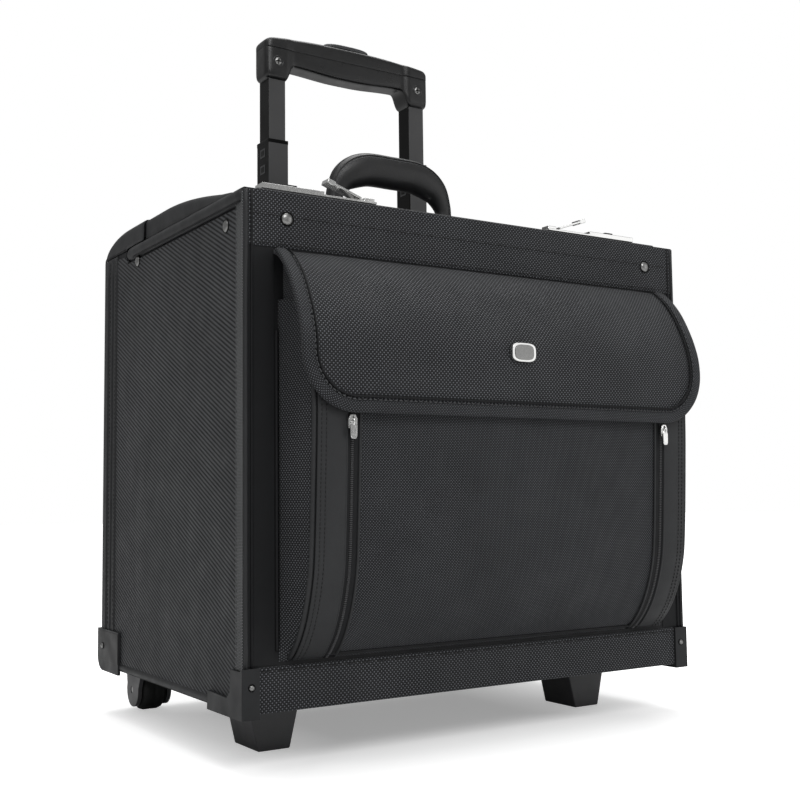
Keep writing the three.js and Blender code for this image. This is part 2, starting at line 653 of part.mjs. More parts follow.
function addPocket() {
  const outer = pocketLine();
  const inner = pocketInnerLine();
  const back = FRONT_Y - GAP;
  const sheetOutline = shapeOf([[back, 82], ...outer, ...inner.reverse(), [back, 87]]);
  const sheet = extrudeX(sheetOutline, -POCKET_HALF_WIDTH, POCKET_HALF_WIDTH);
  const gussetOutline = shapeOf([[back, 82], ...outer, [back, POCKET_TOP_Z]]);
  const gussets = sides.map(([, sign]) => (
    extrudeX(gussetOutline, ...spanX(sign, POCKET_HALF_WIDTH - POCKET_THICKNESS, POCKET_HALF_WIDTH))
  ));
  add("pocket_shell", join(sheet, ...gussets), weave());
  const line = outer.slice(1, 8);
  const near = line.map(([y, z]) => [y - GAP, z - GAP]);
  const far = line.map(([y, z]) => [y - GAP - ZIP_THICKNESS, z - GAP]).reverse();
  const tape = shapeOf([...near, ...far]);
  for (const [side, sign] of sides) {
    const span = spanX(sign, ZIP_X - ZIP_WIDTH / 2, ZIP_X + ZIP_WIDTH / 2);
    add(`zip_${side}`, extrudeX(tape, ...span), binding());
    const face = POCKET_FRONT_Y - GAP - ZIP_THICKNESS - GAP;
    const pull = join(
      box(...spanX(sign, ZIP_X - 4, ZIP_X + 4), face - 2.6, face, 257, 269),
      box(...spanX(sign, ZIP_X - 3, ZIP_X + 3), face - 3.8, face - 1.8, 250, 262),
    );
    add(`zip_pull_${side}`, pull, brightMetal());
  }
}

function addFlap() {
  const outer = [
    [FRONT_Y - GAP - 1, FLAP_SEAM_Z],
    [-176, 397],
    [-186, 388],
    [-197, 375],
    [-206, 360],
    [-214, 345],
    [FLAP_FRONT_Y, 333],
    [FLAP_FRONT_Y, 284],
    [FLAP_FRONT_Y + 0.5, FLAP_BOTTOM_Z],
  ];
  const inner = outer.map(([y, z]) => [Math.min(y + FLAP_THICKNESS, FRONT_Y - GAP), z]);
  inner[0][1] -= 4;
  inner[1][1] -= 5;
  inner[2][1] -= 3;
  const sheet = extrudeX(shapeOf([...outer, ...inner.reverse()]), -FLAP_HALF_WIDTH, FLAP_HALF_WIDTH);
  const corners = [FLAP_CORNER, FLAP_CORNER, 8, 8];
  const face = roundedOutline(-FLAP_HALF_WIDTH, FLAP_HALF_WIDTH, FLAP_BOTTOM_Z, FLAP_SEAM_Z + 1, corners);
  const cutter = extrudeY(face, FLAP_FRONT_Y - 10, FRONT_Y + 10, { segments: 6 });
  add("pocket_flap", common(sheet, cutter), weave());
  const plateLeft = BADGE.x - BADGE.width / 2;
  const plateLow = BADGE.z - BADGE.height / 2;
  const plateHigh = plateLow + BADGE.height;
  const plate = roundedOutline(plateLeft, plateLeft + BADGE.width, plateLow, plateHigh, [3, 3, 3, 3]);
  add("badge_plate", extrudeY(plate, BOX_FRONT_Y, FLAP_FRONT_Y - GAP, { segments: 3 }), brightMetal());
}

addPanels();
addLid();
addRearDeck();
addInside();
addCornerGuards();
addFeet();
addWheels();
addTrolleyBase();
addTrolleyStages();
addGrip();
addCarryHandle();
addLocks();
addRivets();
addPocket();
addFlap();

flightCase.position.y = -(BOX_FRONT_Y + BOX_REAR_Y) / 2;

export default flightCase;
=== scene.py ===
"""Looks of the rolling flight case: fabric, leather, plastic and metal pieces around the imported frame.

Metres, +Z up, the front of the case faces -Y.
"""

import json
import math
from contextlib import contextmanager

import bmesh
import bpy
from mathutils import Matrix, Vector, noise


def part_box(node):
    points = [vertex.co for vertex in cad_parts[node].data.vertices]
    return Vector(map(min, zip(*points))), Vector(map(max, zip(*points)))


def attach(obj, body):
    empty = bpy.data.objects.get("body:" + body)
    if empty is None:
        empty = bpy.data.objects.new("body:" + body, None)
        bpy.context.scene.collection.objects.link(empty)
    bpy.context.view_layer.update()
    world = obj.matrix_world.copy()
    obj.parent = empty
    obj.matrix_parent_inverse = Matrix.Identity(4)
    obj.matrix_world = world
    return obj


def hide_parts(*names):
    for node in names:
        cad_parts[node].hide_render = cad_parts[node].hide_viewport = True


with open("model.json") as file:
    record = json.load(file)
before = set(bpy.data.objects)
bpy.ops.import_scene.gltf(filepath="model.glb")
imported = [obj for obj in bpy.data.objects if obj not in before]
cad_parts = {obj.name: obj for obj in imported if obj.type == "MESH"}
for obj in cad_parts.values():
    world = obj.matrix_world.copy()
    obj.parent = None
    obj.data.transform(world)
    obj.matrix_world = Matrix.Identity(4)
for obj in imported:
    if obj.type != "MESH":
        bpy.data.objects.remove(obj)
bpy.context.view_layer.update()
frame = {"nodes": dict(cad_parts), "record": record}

MM = 0.001
X, Y, Z = Vector((1, 0, 0)), Vector((0, 1, 0)), Vector((0, 0, 1))
BODY_OF = {n: b for b, names in frame["record"]["behaviour"]["bodies"].items() for n in names}
SIDES = (("left", -1), ("right", 1))

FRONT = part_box("front_panel")[0].y
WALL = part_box("front_panel")[1].y - FRONT
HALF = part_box("front_panel")[1].x
FRONT_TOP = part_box("front_panel")[1].z
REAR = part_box("rear_panel")[1].y
REAR_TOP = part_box("rear_panel")[1].z
REAR_STRIP_Y = REAR - 38 * MM
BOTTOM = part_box("base_board")[0].z
ROLL_LOW, ROLL_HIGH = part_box("side_rim_left")
LID_LOW, LID_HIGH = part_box("lid_panel")
DECK_LOW, DECK_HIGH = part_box("rear_deck")
FLAP_LOW, FLAP_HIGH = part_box("pocket_flap")
POCKET_LOW, POCKET_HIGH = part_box("pocket_shell")
SEAM_Z = FLAP_HIGH.z


# ---- materials ----------------------------------------------------------------------------
class Graph:
    """A material whose nodes are made and joined by short calls."""

    def __init__(self, name, colour, roughness, metallic=0.0, **sockets):
        self.material = bpy.data.materials.new(name)
        self.material.use_nodes = True
        self.material.diffuse_color = (*colour, 1)
        self.tree = self.material.node_tree
        self.shader = self.tree.nodes["Principled BSDF"]
        sockets.update(Base_Color=(*colour, 1), Roughness=roughness, Metallic=metallic)
        for key, value in sockets.items():
            self.shader.inputs[key.replace("_", " ")].default_value = value
        self.body = self.node("ShaderNodeTexCoord").outputs["Object"]

    def node(self, kind, values=(), **settings):
        made = self.tree.nodes.new(kind)
        for key, value in settings.items():
            setattr(made, key, value)
        for i, value in enumerate(values):
            if isinstance(value, bpy.types.NodeSocket):
                self.tree.links.new(value, made.inputs[i])
            else:
                made.inputs[i].default_value = value
        return made

    def feed(self, name, socket):
        """Leads a node's output to the shader."""
        self.tree.links.new(socket, self.shader.inputs[name])

    def math(self, operation, *values):
        return self.node("ShaderNodeMath", values, operation=operation).outputs[0]

    def noise(self, vector, scale, detail=2.0, roughness=0.5):
        made = self.node("ShaderNodeTexNoise", [vector])
        for key, value in (("Scale", scale), ("Detail", detail), ("Roughness", roughness)):
            made.inputs[key].default_value = value
        return made.outputs["Fac"]

    def cells(self, vector, scale, feature="F1"):
        made = self.node("ShaderNodeTexVoronoi", [vector], feature=feature)
        made.inputs["Scale"].default_value = scale
        return made.outputs["Distance"]

    def ramp(self, factor, *stops):
        made = self.node("ShaderNodeValToRGB", [factor])
        elements = made.color_ramp.elements
        while len(elements) < len(stops):
            elements.new(0.5)
        for element, (position, level) in zip(elements, stops):
            element.position = position
            element.color = (*level, 1) if isinstance(level, tuple) else (level, level, level, 1)
        return made.outputs[0]

    def tint(self, colour, factor, low, high):
        """colour times a grey that runs from low to high with factor."""
        grey = self.ramp(factor, (0.25, low), (0.75, high))
        made = self.node("ShaderNodeMix", [1.0], data_type="RGBA", blend_type="MULTIPLY")
        self.tree.links.new(colour, made.inputs[6])
        self.tree.links.new(grey, made.inputs[7])
        return made.outputs[2]

    def bump(self, height, strength, distance):
        """One more layer of relief on those already there."""
        made = self.node("ShaderNodeBump")
        made.inputs["Strength"].default_value = strength
        made.inputs["Distance"].default_value = distance
        self.tree.links.new(height, made.inputs["Height"])
        before = self.shader.inputs["Normal"].links
        if before:
            self.tree.links.new(before[0].from_socket, made.inputs["Normal"])
        self.feed("Normal", made.outputs[0])


def finish_cloth(g, threads, fabric, fibres, patches, height, strength, depth):
    """Fibres, uneven dye and gloss, soft waves, and the height of the threads.

    fibres and patches are the scale of a noise and the darkest and lightest grey that it gives.
    """
    fibre = g.noise(threads, fibres[0], 3, 0.7)
    fabric = g.tint(fabric, fibre, *fibres[1:])
    g.feed("Base Color", g.tint(fabric, g.noise(g.body, patches[0], 3, 0.6), *patches[1:]))
    g.feed("Roughness", g.ramp(g.noise(g.body, 40, 2), (0.3, 0.55), (0.7, 0.72)))
    g.bump(g.noise(g.body, 22, 2), 0.12, 0.004)
    g.bump(height, strength, depth)
    g.bump(fibre, 0.2, 0.0002)
    return g.material


def weave_material(name, pitch, light, shade, gap):
    """Basket weave: warp and weft floats in a staggered grid."""
    g = Graph(name, light, 0.62, Sheen_Weight=0.04, Sheen_Roughness=0.5, Specular_IOR_Level=0.22)
    threads = g.node("ShaderNodeUVMap", uv_map="UVMap").outputs[0]
    split = g.node("ShaderNodeSeparateXYZ", [threads])
    across, along = (g.math("SINE", g.math("MULTIPLY", split.outputs[i], math.pi / pitch)) for i in (0, 1))
    over = g.math("MULTIPLY", across, along)
    fabric = g.ramp(g.math("MULTIPLY_ADD", over, 0.5, 0.5), (0.0, shade), (0.46, gap), (0.56, gap), (1.0, light))
    height = g.math("POWER", g.math("ABSOLUTE", over), 0.7)
    return finish_cloth(g, threads, fabric, (3500, 0.72, 1.25), (14, 0.86, 1.14), height, 0.75, 0.0005)


def twill_material(name, along, down, light, gap):
    """Heavy slanting ribs of twisted yarn, broken by the threads that cross them.

    along and down are the distances between ribs across and up the cloth.
    """
    g = Graph(name, light, 0.62, Sheen_Weight=0.03, Sheen_Roughness=0.5, Specular_IOR_Level=0.2)
    threads = g.node("ShaderNodeUVMap", uv_map="UVMap").outputs[0]
    split = g.node("ShaderNodeSeparateXYZ", [threads])
    run = g.math("MULTIPLY", split.outputs[0], 2 * math.pi / along)
    fall = g.math("MULTIPLY", split.outputs[1], 2 * math.pi / down)
    rib = g.math("MULTIPLY_ADD", g.math("SINE", g.math("SUBTRACT", run, fall)), 0.5, 0.5)
    cross = g.math("MULTIPLY_ADD", g.math("SINE", g.math("MULTIPLY", g.math("ADD", run, fall), 2)), 0.5, 0.5)
    level = g.math("MULTIPLY", g.math("POWER", rib, 0.8), g.math("MULTIPLY_ADD", cross, 0.2, 0.8))
    fabric = g.ramp(level, (0.18, gap), (0.8, light))
    return finish_cloth(g, threads, fabric, (3200, 0.7, 1.3), (12, 0.84, 1.16), level, 0.8, 0.0007)


def shaded(colour, factor):
    return tuple(c * factor for c in colour)


def grained_material(name, colour, roughness, grain, depth, variation=0.12, **sockets):
    """A smooth surface with a fine grain, faint wear and uneven gloss."""
    g = Graph(name, colour, roughness, **sockets)
    base = g.ramp(g.noise(g.body, 25, 4, 0.6), (0.2, shaded(colour, 1 - variation)),
                  (0.8, shaded(colour, 1 + variation)))
    fine = g.noise(g.body, grain, 3, 0.6)
    g.feed("Base Color", g.tint(base, fine, 0.82, 1.18))
    g.feed("Roughness", g.ramp(g.noise(g.body, 60, 3), (0.3, roughness - 0.07), (0.7, roughness + 0.08)))
    g.bump(fine, 0.35, depth)
    return g.material


def leather_material(name, colour):
    """Smooth hide with fine pebbles, faint creases and wear."""
    g = Graph(name, colour, 0.42, Coat_Weight=0.12, Coat_Roughness=0.35)
    pebble = g.cells(g.body, 900)
    wear = g.noise(g.body, 30, 4, 0.6)
    base = g.ramp(wear, (0.25, shaded(colour, 0.85)), (0.75, shaded(colour, 1.2)))
    g.feed("Base Color", g.tint(base, pebble, 0.88, 1.12))
    g.feed("Roughness", g.ramp(wear, (0.3, 0.36), (0.7, 0.5)))
    g.bump(g.cells(g.body, 260, "SMOOTH_F1"), 0.12, 0.0006)
    g.bump(pebble, 0.3, 0.00025)
    return g.material


def metal_material(name, colour, roughness):
    """Metal with fine scratches and faint stains."""
    g = Graph(name, colour, roughness, 1.0)
    streak = g.noise(g.body, 700, 3, 0.6)
    base = g.ramp(g.noise(g.body, 90, 3, 0.6), (0.2, shaded(colour, 0.88)), (0.8, colour))
    g.feed("Base Color", g.tint(base, streak, 0.92, 1.05))
    g.feed("Roughness", g.ramp(streak, (0.3, max(0.05, roughness - 0.06)), (0.7, roughness + 0.1)))
    g.bump(streak, 0.08, 0.0001)
    return g.material


WEAVE = weave_material("ballistic_weave", 1.7 * MM, (0.152, 0.158, 0.171), (0.022, 0.0233, 0.0262),
                       (0.0025, 0.0026, 0.003))
SIDE_WEAVE = twill_material("side_twill", 8.0 * MM, 3.9 * MM, (0.066, 0.0685, 0.073), (0.002, 0.0022, 0.0025))
FINE_WEAVE = weave_material("fine_weave", 1.3 * MM, (0.13, 0.136, 0.149), (0.02, 0.0212, 0.024),
                            (0.003, 0.0032, 0.0037))
# The front's weave, lighter where it wraps round the front corners of the sides: painted sheen along those edges; the
# weave pattern itself is the cloth's.
EDGE_WEAVE_PAINTED_SHEEN = weave_material("wrapped_edge_painted_sheen", 1.1 * MM, (0.34, 0.35, 0.355), (0.085, 0.088, 0.09),
                            (0.018, 0.019, 0.02))
BINDING = grained_material("coated_binding", (0.022, 0.0228, 0.0242), 0.5, 1400, 0.0002, Specular_IOR_Level=0.3)
DARK_BINDING = grained_material("dark_binding", (0.009, 0.0094, 0.0103), 0.6, 1400, 0.0002, Specular_IOR_Level=0.2)
LEATHER = leather_material("smooth_leather", (0.0058, 0.006, 0.0066))
THREAD = grained_material("thread", (0.075, 0.077, 0.08), 0.6, 3000, 0.0001, Specular_IOR_Level=0.3)
DARK_THREAD = grained_material("dark_thread", (0.006, 0.006, 0.0065), 0.65, 3000, 0.0001)
LINING = grained_material("lining_cloth", (0.03, 0.0315, 0.034), 0.85, 900, 0.0002, Specular_IOR_Level=0.2)
PLASTIC = grained_material("moulded_black", (0.0055, 0.0056, 0.006), 0.33, 2200, 0.00008)
FOOT_PLASTIC = grained_material("foot_plastic", (0.06, 0.0602, 0.063), 0.45, 1800, 0.0001)
GUARD = grained_material("guard_grey", (0.022, 0.0227, 0.024), 0.42, 1800, 0.0001, Specular_IOR_Level=0.18)
# A darker copy of the guard plastic for the rear guards' recesses: painted shade.
GUARD_RECESS_SHADE = grained_material("guard_painted_recess_shade", (0.005, 0.0052, 0.0056), 0.5, 1800, 0.0001)
TUBE = grained_material("anodised_face", (0.042, 0.042, 0.043), 0.4, 1600, 0.00005, 0.05)
TUBE_EDGE = grained_material("anodised_edge", (0.0015, 0.0015, 0.0016), 0.3, 1600, 0.00005, Specular_IOR_Level=0.1)
BUTTON = grained_material("button_grey", (0.03, 0.0315, 0.0335), 0.35, 2000, 0.00006)
RUBBER = grained_material("tyre_rubber", (0.008, 0.008, 0.008), 0.75, 1500, 0.00015)
CHROME = metal_material("bright_plate", (0.78, 0.78, 0.77), 0.14)
SATIN = metal_material("satin_nickel", (0.30, 0.30, 0.295), 0.32)
# Black metal for the lock buttons and rivet rings, and also the dark fill of screw recesses and detent holes, where it
# is painted shade.
BLACK_METAL_AND_HOLE_SHADE = metal_material("blackened_metal_and_hole_shade", (0.012, 0.012, 0.012), 0.35)

# The record's material slot of each material. place() looks it up for a new piece unless its own call names one, and
# then keeps it nowhere.
SLOT_OF = {material.name: slot for slot, materials in {
    "weave_fabric": (WEAVE, SIDE_WEAVE, FINE_WEAVE, EDGE_WEAVE_PAINTED_SHEEN),
    "smooth_binding": (BINDING, DARK_BINDING, LINING),
    "handle_leather": (LEATHER,),
    "black_plastic": (PLASTIC, FOOT_PLASTIC, TUBE_EDGE),
    "guard_plastic": (GUARD_RECESS_SHADE, BUTTON),
    "wheel_rubber": (RUBBER,),
    "bright_metal": (CHROME,),
}.items() for material in materials}


# ---- mesh helpers -------------------------------------------------------------------------
def place(name, mesh, material, body="case", replaced=(), slot="by material"):
    """A finished mesh in the row frame: material, body and the CAD nodes it stands for."""
    made = bpy.data.objects.new(name, mesh)
    bpy.context.scene.collection.objects.link(made)
    mesh.materials.append(material)
    mesh.shade_smooth()
    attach(made, body)
    if replaced:
        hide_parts(*replaced)
    if slot == "by material":
        slot = SLOT_OF.get(material.name)
    return made


def add_modifier(made, kind, **settings):
    modifier = made.modifiers.new(kind.lower(), kind)
    for key, value in settings.items():
        setattr(modifier, key, value)


@contextmanager
def editing(mesh, source=None):
    """A bmesh of the mesh, or of its source, which is written to the mesh at the end."""
    made = bmesh.new()
    made.from_mesh(source or mesh)
    yield made
    made.to_mesh(mesh)
    made.free()


def outward(mesh):
    with editing(mesh) as made:
        bmesh.ops.recalc_face_normals(made, faces=made.faces)


def box_uv(mesh):
    """Metres across each face, read along the two axes that the face lies nearest to."""
    layer = mesh.uv_layers.new(name="UVMap")
    for face in mesh.polygons:
        n = [abs(c) for c in face.normal]
        axes = (1, 2) if n[0] >= max(n[1], n[2]) else ((0, 2) if n[1] >= n[2] else (0, 1))
        for loop in face.loop_indices:
            co = mesh.vertices[mesh.loops[loop].vertex_index].co
            layer.data[loop].uv = (co[axes[0]], co[axes[1]])


def mesh_of(name, verts, faces, uvs=()):
    """A mesh from points and faces, with a UV for each corner of each face if they are given."""
    mesh = bpy.data.meshes.new(name)
    mesh.from_pydata([tuple(v) for v in verts], [], faces)
    mesh.update()
    if uvs:
        layer = mesh.uv_layers.new(name="UVMap")
        for loop, uv in zip(layer.data, uvs):
            loop.uv = uv
    return mesh


def middle(node):
    """Centre of a CAD node's box."""
    low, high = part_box(node)
    return (low + high) / 2


def lengths_along(points):
    """Distance of each point from the first, measured along the points."""
    lengths = [0.0]
    for a, b in zip(points, points[1:]):
        lengths.append(lengths[-1] + (b - a).length)
    return lengths


def heading(path, i):
    """Direction of a path at one of its points."""
    return (path[min(i + 1, len(path) - 1)] - path[max(i - 1, 0)]).normalized()


def blunt(value, power):
    """value between -1 and 1, pushed towards its ends by a power under 1."""
    return math.copysign(abs(value) ** power, value)


def turned(count):
    """Cosine and sine of count angles round a circle."""
    return [(math.cos(2 * math.pi * k / count), math.sin(2 * math.pi * k / count)) for k in range(count)]


def lateral(sign, inner, outer):
    """Lowest and highest X between two distances from the middle, on one side."""
    return sorted((sign * inner, sign * outer))


def outline(u, v, steps):
    """Points at steps in millimetres from (u, v)."""
    return [(u + a * MM, v + b * MM) for a, b in steps]


def grid_mesh(name, rows, us, vs):
    """A sheet through rows of points, with its UVs in metres."""
    count = len(rows[0])
    faces, uvs = [], []
    for i in range(len(rows) - 1):
        for j in range(count - 1):
            corners = ((i, j), (i, j + 1), (i + 1, j + 1), (i + 1, j))
            faces.append([a * count + b for a, b in corners])
            uvs.extend((us[a][b], vs[a][b]) for a, b in corners)
    return mesh_of(name, [p for row in rows for p in row], faces, uvs)


def sweep(name, centres, sides, normals, section, material, body="case", scales=None, **rest):
    """A closed section carried along a path. Section points are (along side, along normal)."""
    count, stations = len(section), len(centres)
    verts = []
    for i, (c, s, n) in enumerate(zip(centres, sides, normals)):
        wide, tall = scales[i] if scales else (1, 1)
        verts.extend(c + s * (a * wide) + n * (b * tall) for a, b in section)
    girth = lengths_along([Vector(p) for p in (*section, section[0])])
    length = lengths_along(centres)
    faces, uvs = [], []
    for i in range(stations - 1):
        for j in range(count):
            m = (j + 1) % count
            faces.append([i * count + j, i * count + m, (i + 1) * count + m, (i + 1) * count + j])
            uvs.extend([(girth[j], length[i]), (girth[j + 1], length[i]),
                        (girth[j + 1], length[i + 1]), (girth[j], length[i + 1])])
    faces.append(list(range(count - 1, -1, -1)))
    faces.append([(stations - 1) * count + j for j in range(count)])
    mesh = mesh_of(name, verts, faces, uvs + section[::-1] + section)
    outward(mesh)
    return place(name, mesh, material, body, **rest)


def round_section(radius, sides):
    return [(radius * c, radius * s) for c, s in turned(sides)]


def flat_section(width, height, radius, steps=3):
    """A flat band with rounded edges, lying on its lower face."""
    points = []
    for cx, cy, start in ((1, 1, 0), (-1, 1, 90), (-1, -1, 180), (1, -1, 270)):
        for i in range(steps + 1):
            t = math.radians(start + 90 * i / steps)
            points.append((cx * (width / 2 - radius) + radius * math.cos(t),
                           height / 2 + cy * (height / 2 - radius) + radius * math.sin(t)))
    return points


def slab_mesh(name, points, axis, low, high, bevel):
    """An outline pushed along an axis, with every edge rounded."""
    def point(u, v, w):
        return (w, u, v) if axis == 0 else ((u, w, v) if axis == 1 else (u, v, w))
    n = len(points)
    faces = [list(range(n)), list(range(2 * n - 1, n - 1, -1))]
    faces += [[i, i + n, (i + 1) % n + n, (i + 1) % n] for i in range(n)]
    mesh = mesh_of(name, [point(u, v, w) for w in (low, high) for u, v in points], faces)
    with editing(mesh) as made:
        bmesh.ops.recalc_face_normals(made, faces=made.faces)
        sharp = [e for e in made.edges if e.calc_face_angle(0) > math.radians(20)]
        bmesh.ops.bevel(made, geom=sharp, offset=bevel, segments=3, profile=0.5, affect="EDGES",
                        clamp_overlap=True)
    mesh.update()
    box_uv(mesh)
    return mesh


def slab(name, points, axis, low, high, bevel, material, body="case", **rest):
    made = place(name, slab_mesh(name, points, axis, low, high, bevel), material, body, **rest)
    add_modifier(made, "WEIGHTED_NORMAL", keep_sharp=True)


def rectangle(u0, u1, v0, v1):
    return [(u0, v0), (u1, v0), (u1, v1), (u0, v1)]


def refined(node, material, bevel, segments=3, angle=28):
    """The CAD node's own shape with its edges rounded."""
    name = f"{node}_finished"
    mesh = bpy.data.meshes.new(name)
    with editing(mesh, frame["nodes"][node].data) as made:
        bmesh.ops.remove_doubles(made, verts=made.verts, dist=1e-6)
        bmesh.ops.dissolve_limit(made, angle_limit=math.radians(1), verts=made.verts, edges=made.edges)
    for layer in list(mesh.uv_layers):
        mesh.uv_layers.remove(layer)
    box_uv(mesh)
    piece = place(name, mesh, material, BODY_OF[node], replaced=[node], slot=None)
    add_modifier(piece, "BEVEL", width=bevel, segments=segments, limit_method="ANGLE",
                 angle_limit=math.radians(angle), harden_normals=False)
    add_modifier(piece, "WEIGHTED_NORMAL", keep_sharp=True)
    return piece


def lathe(name, profile, centre, axis, material, body="case", steps=40, close=False, **rest):
    """A profile of (radius, along) turned round an axis through centre."""
    side = axis.orthogonal().normalized()
    other = axis.cross(side)
    verts = []
    for c, s in turned(steps):
        verts.extend(Vector(centre) + (side * c + other * s) * r + axis * a for r, a in profile)
    n = len(profile)
    faces = []
    for i in range(steps):
        k = (i + 1) % steps
        for j in range(n if close else n - 1):
            m = (j + 1) % n
            faces.append([i * n + j, k * n + j, k * n + m, i * n + m])
    mesh = mesh_of(name, verts, faces)
    with editing(mesh) as made:
        bmesh.ops.remove_doubles(made, verts=made.verts, dist=1e-7)
        bmesh.ops.recalc_face_normals(made, faces=made.faces)
    box_uv(mesh)
    return place(name, mesh, material, body, **rest)


def stitches(name, path, normals, material, body="case", pitch=4.4 * MM, size=0.42 * MM):
    """A row of sewn stitches, each a small spindle half sunk in the cloth.

    normals is one direction for the whole row, or one for each point of its path.
    """
    verts, faces = [], []
    around = 6
    length = pitch * 0.68
    rings = ((0.0, 0.25), (0.16, 0.9), (0.5, 1.0), (0.84, 0.9), (1.0, 0.25))
    carried = pitch * 0.5
    for i, (start, end) in enumerate(zip(path, path[1:])):
        span = (end - start).length
        if span < 1e-9:
            continue
        along = (end - start) / span
        normal = normals if isinstance(normals, Vector) else normals[i]
        side = along.cross(normal).normalized()
        while carried < span:
            base = len(verts)
            for t, r in rings:
                lift = size * 0.35 * math.sin(math.pi * t)
                centre = start + along * (carried + t * length) + normal * lift
                verts.extend(centre + (side * c + normal * s) * (size * r) for c, s in turned(around))
            for a in range(base, base + (len(rings) - 1) * around, around):
                for k in range(around):
                    m = (k + 1) % around
                    faces.append([a + k, a + m, a + around + m, a + around + k])
            last = base + (len(rings) - 1) * around
            faces.append([base + k for k in range(around - 1, -1, -1)])
            faces.append([last + k for k in range(around)])
            carried += pitch
        carried -= span
    mesh = mesh_of(name, verts, faces)
    box_uv(mesh)
    place(name, mesh, material, body)


def sampled(points, count):
    """count points at equal steps along a smooth curve through the given ones."""
    dense = []
    n = len(points)
    for i in range(n - 1):
        p0, p1 = points[max(i - 1, 0)], points[i]
        p2, p3 = points[i + 1], points[min(i + 2, n - 1)]
        for k in range(12):
            t = k / 12
            dense.append(p1 * (2 * t**3 - 3 * t**2 + 1) + p2 * (3 * t**2 - 2 * t**3)
                         + (p2 - p0) * 0.5 * (t**3 - 2 * t**2 + t) + (p3 - p1) * 0.5 * (t**3 - t**2))
    dense.append(points[-1])
    lengths = lengths_along(dense)
    out, k = [], 0
    for i in range(count):
        want = lengths[-1] * i / (count - 1)
        while k < len(dense) - 2 and lengths[k + 1] < want:
            k += 1
        step = lengths[k + 1] - lengths[k]
        t = 0 if step < 1e-12 else (want - lengths[k]) / step
        out.append(dense[k].lerp(dense[k + 1], min(max(t, 0), 1)))
    return out


def strip(name, path, normals, width, height, material, **rest):
    """A band of cloth laid along a path, its width along X."""
    sweep(name, path, [X] * len(path), normals, flat_section(width, height, height * 0.45), material, **rest)


def cord_line(name, path, radius, material, body="case"):
    """A thin piping along a path."""
    sides, normals = [], []
    for i in range(len(path)):
        along = heading(path, i)
        sides.append((sides[-1] - along * sides[-1].dot(along) if i else along.orthogonal()).normalized())
        normals.append(along.cross(sides[-1]))
    sweep(name, path, sides, normals, round_section(radius, 10), material, body)


def line(start, end, count=2):
    return [Vector(start).lerp(Vector(end), i / (count - 1)) for i in range(count)]


def rivet(name, centre, axis, radius):
    """A domed rivet head in a dark eyelet ring."""
    dome = [(0, 1.9), (0.45, 1.75), (0.75, 1.25), (0.93, 0.6), (1, 0)]
    rim = [(0.96, 0), (1.02, 0.7), (1.16, 0.6), (1.2, 0)]
    head = lathe(name, [(r * radius, a * MM) for r, a in dome], centre, axis, SATIN)
    lathe(f"{name}_ring", [(r * radius, a * MM) for r, a in rim], centre, axis, BLACK_METAL_AND_HOLE_SHADE)
    return head


# ---- case body ----------------------------------------------------------------------------
def build_front():
    low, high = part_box("front_panel")
    slab("front_board", rectangle(low.y, high.y, low.z, high.z), 0, low.x, high.x, 2.4 * MM, DARK_BINDING,
         replaced=["front_panel"], slot="weave_fabric")
    face = FRONT - 0.9 * MM
    for name, foot, top in (("top", SEAM_Z + 0.6 * MM, FRONT_TOP - 0.5 * MM),
                            ("bottom", BOTTOM + 0.5 * MM, BOTTOM + 35 * MM)):
        band = rectangle(-HALF - 0.2 * MM, HALF + 0.2 * MM, foot, top)
        slab(f"front_{name}_band", band, 1, face, FRONT + 3 * MM, 0.85 * MM, WEAVE)
    for name, z, x in (("top", FRONT_TOP - 20 * MM, HALF - 4 * MM), ("seam", SEAM_Z + 3.4 * MM, HALF - 2 * MM),
                       ("bottom", BOTTOM + 32 * MM, HALF - 4 * MM)):
        stitches(f"front_stitch_{name}", line((-x, face, z), (x, face, z)), -Y, DARK_THREAD, size=0.62 * MM)
    for side, sign in SIDES:
        margin = rectangle(*lateral(sign, HALF - 26 * MM, HALF - 3 * MM), BOTTOM + 36 * MM, SEAM_Z - 0.4 * MM)
        slab(f"front_margin_{side}", margin, 1, FRONT - 0.5 * MM, FRONT + 2 * MM, 0.45 * MM, DARK_BINDING)
        for k, (inset, radius, look) in enumerate(((1.6, 1.7, BINDING), (6.5, 1.2, DARK_BINDING))):
            x, y = sign * (HALF - inset * MM), FRONT - 0.7 * MM
            edge = line((x, y, BOTTOM + 34 * MM), (x, y, FRONT_TOP - 2 * MM), 30)
            cord_line(f"front_piping_{side}_{k}", edge, radius * MM, look)
        spot = middle(f"front_rivet_{side}")
        head = rivet(f"front_rivet_head_{side}", (spot.x, face, spot.z), -Y, 5.0 * MM)
        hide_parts(f"front_rivet_{side}")


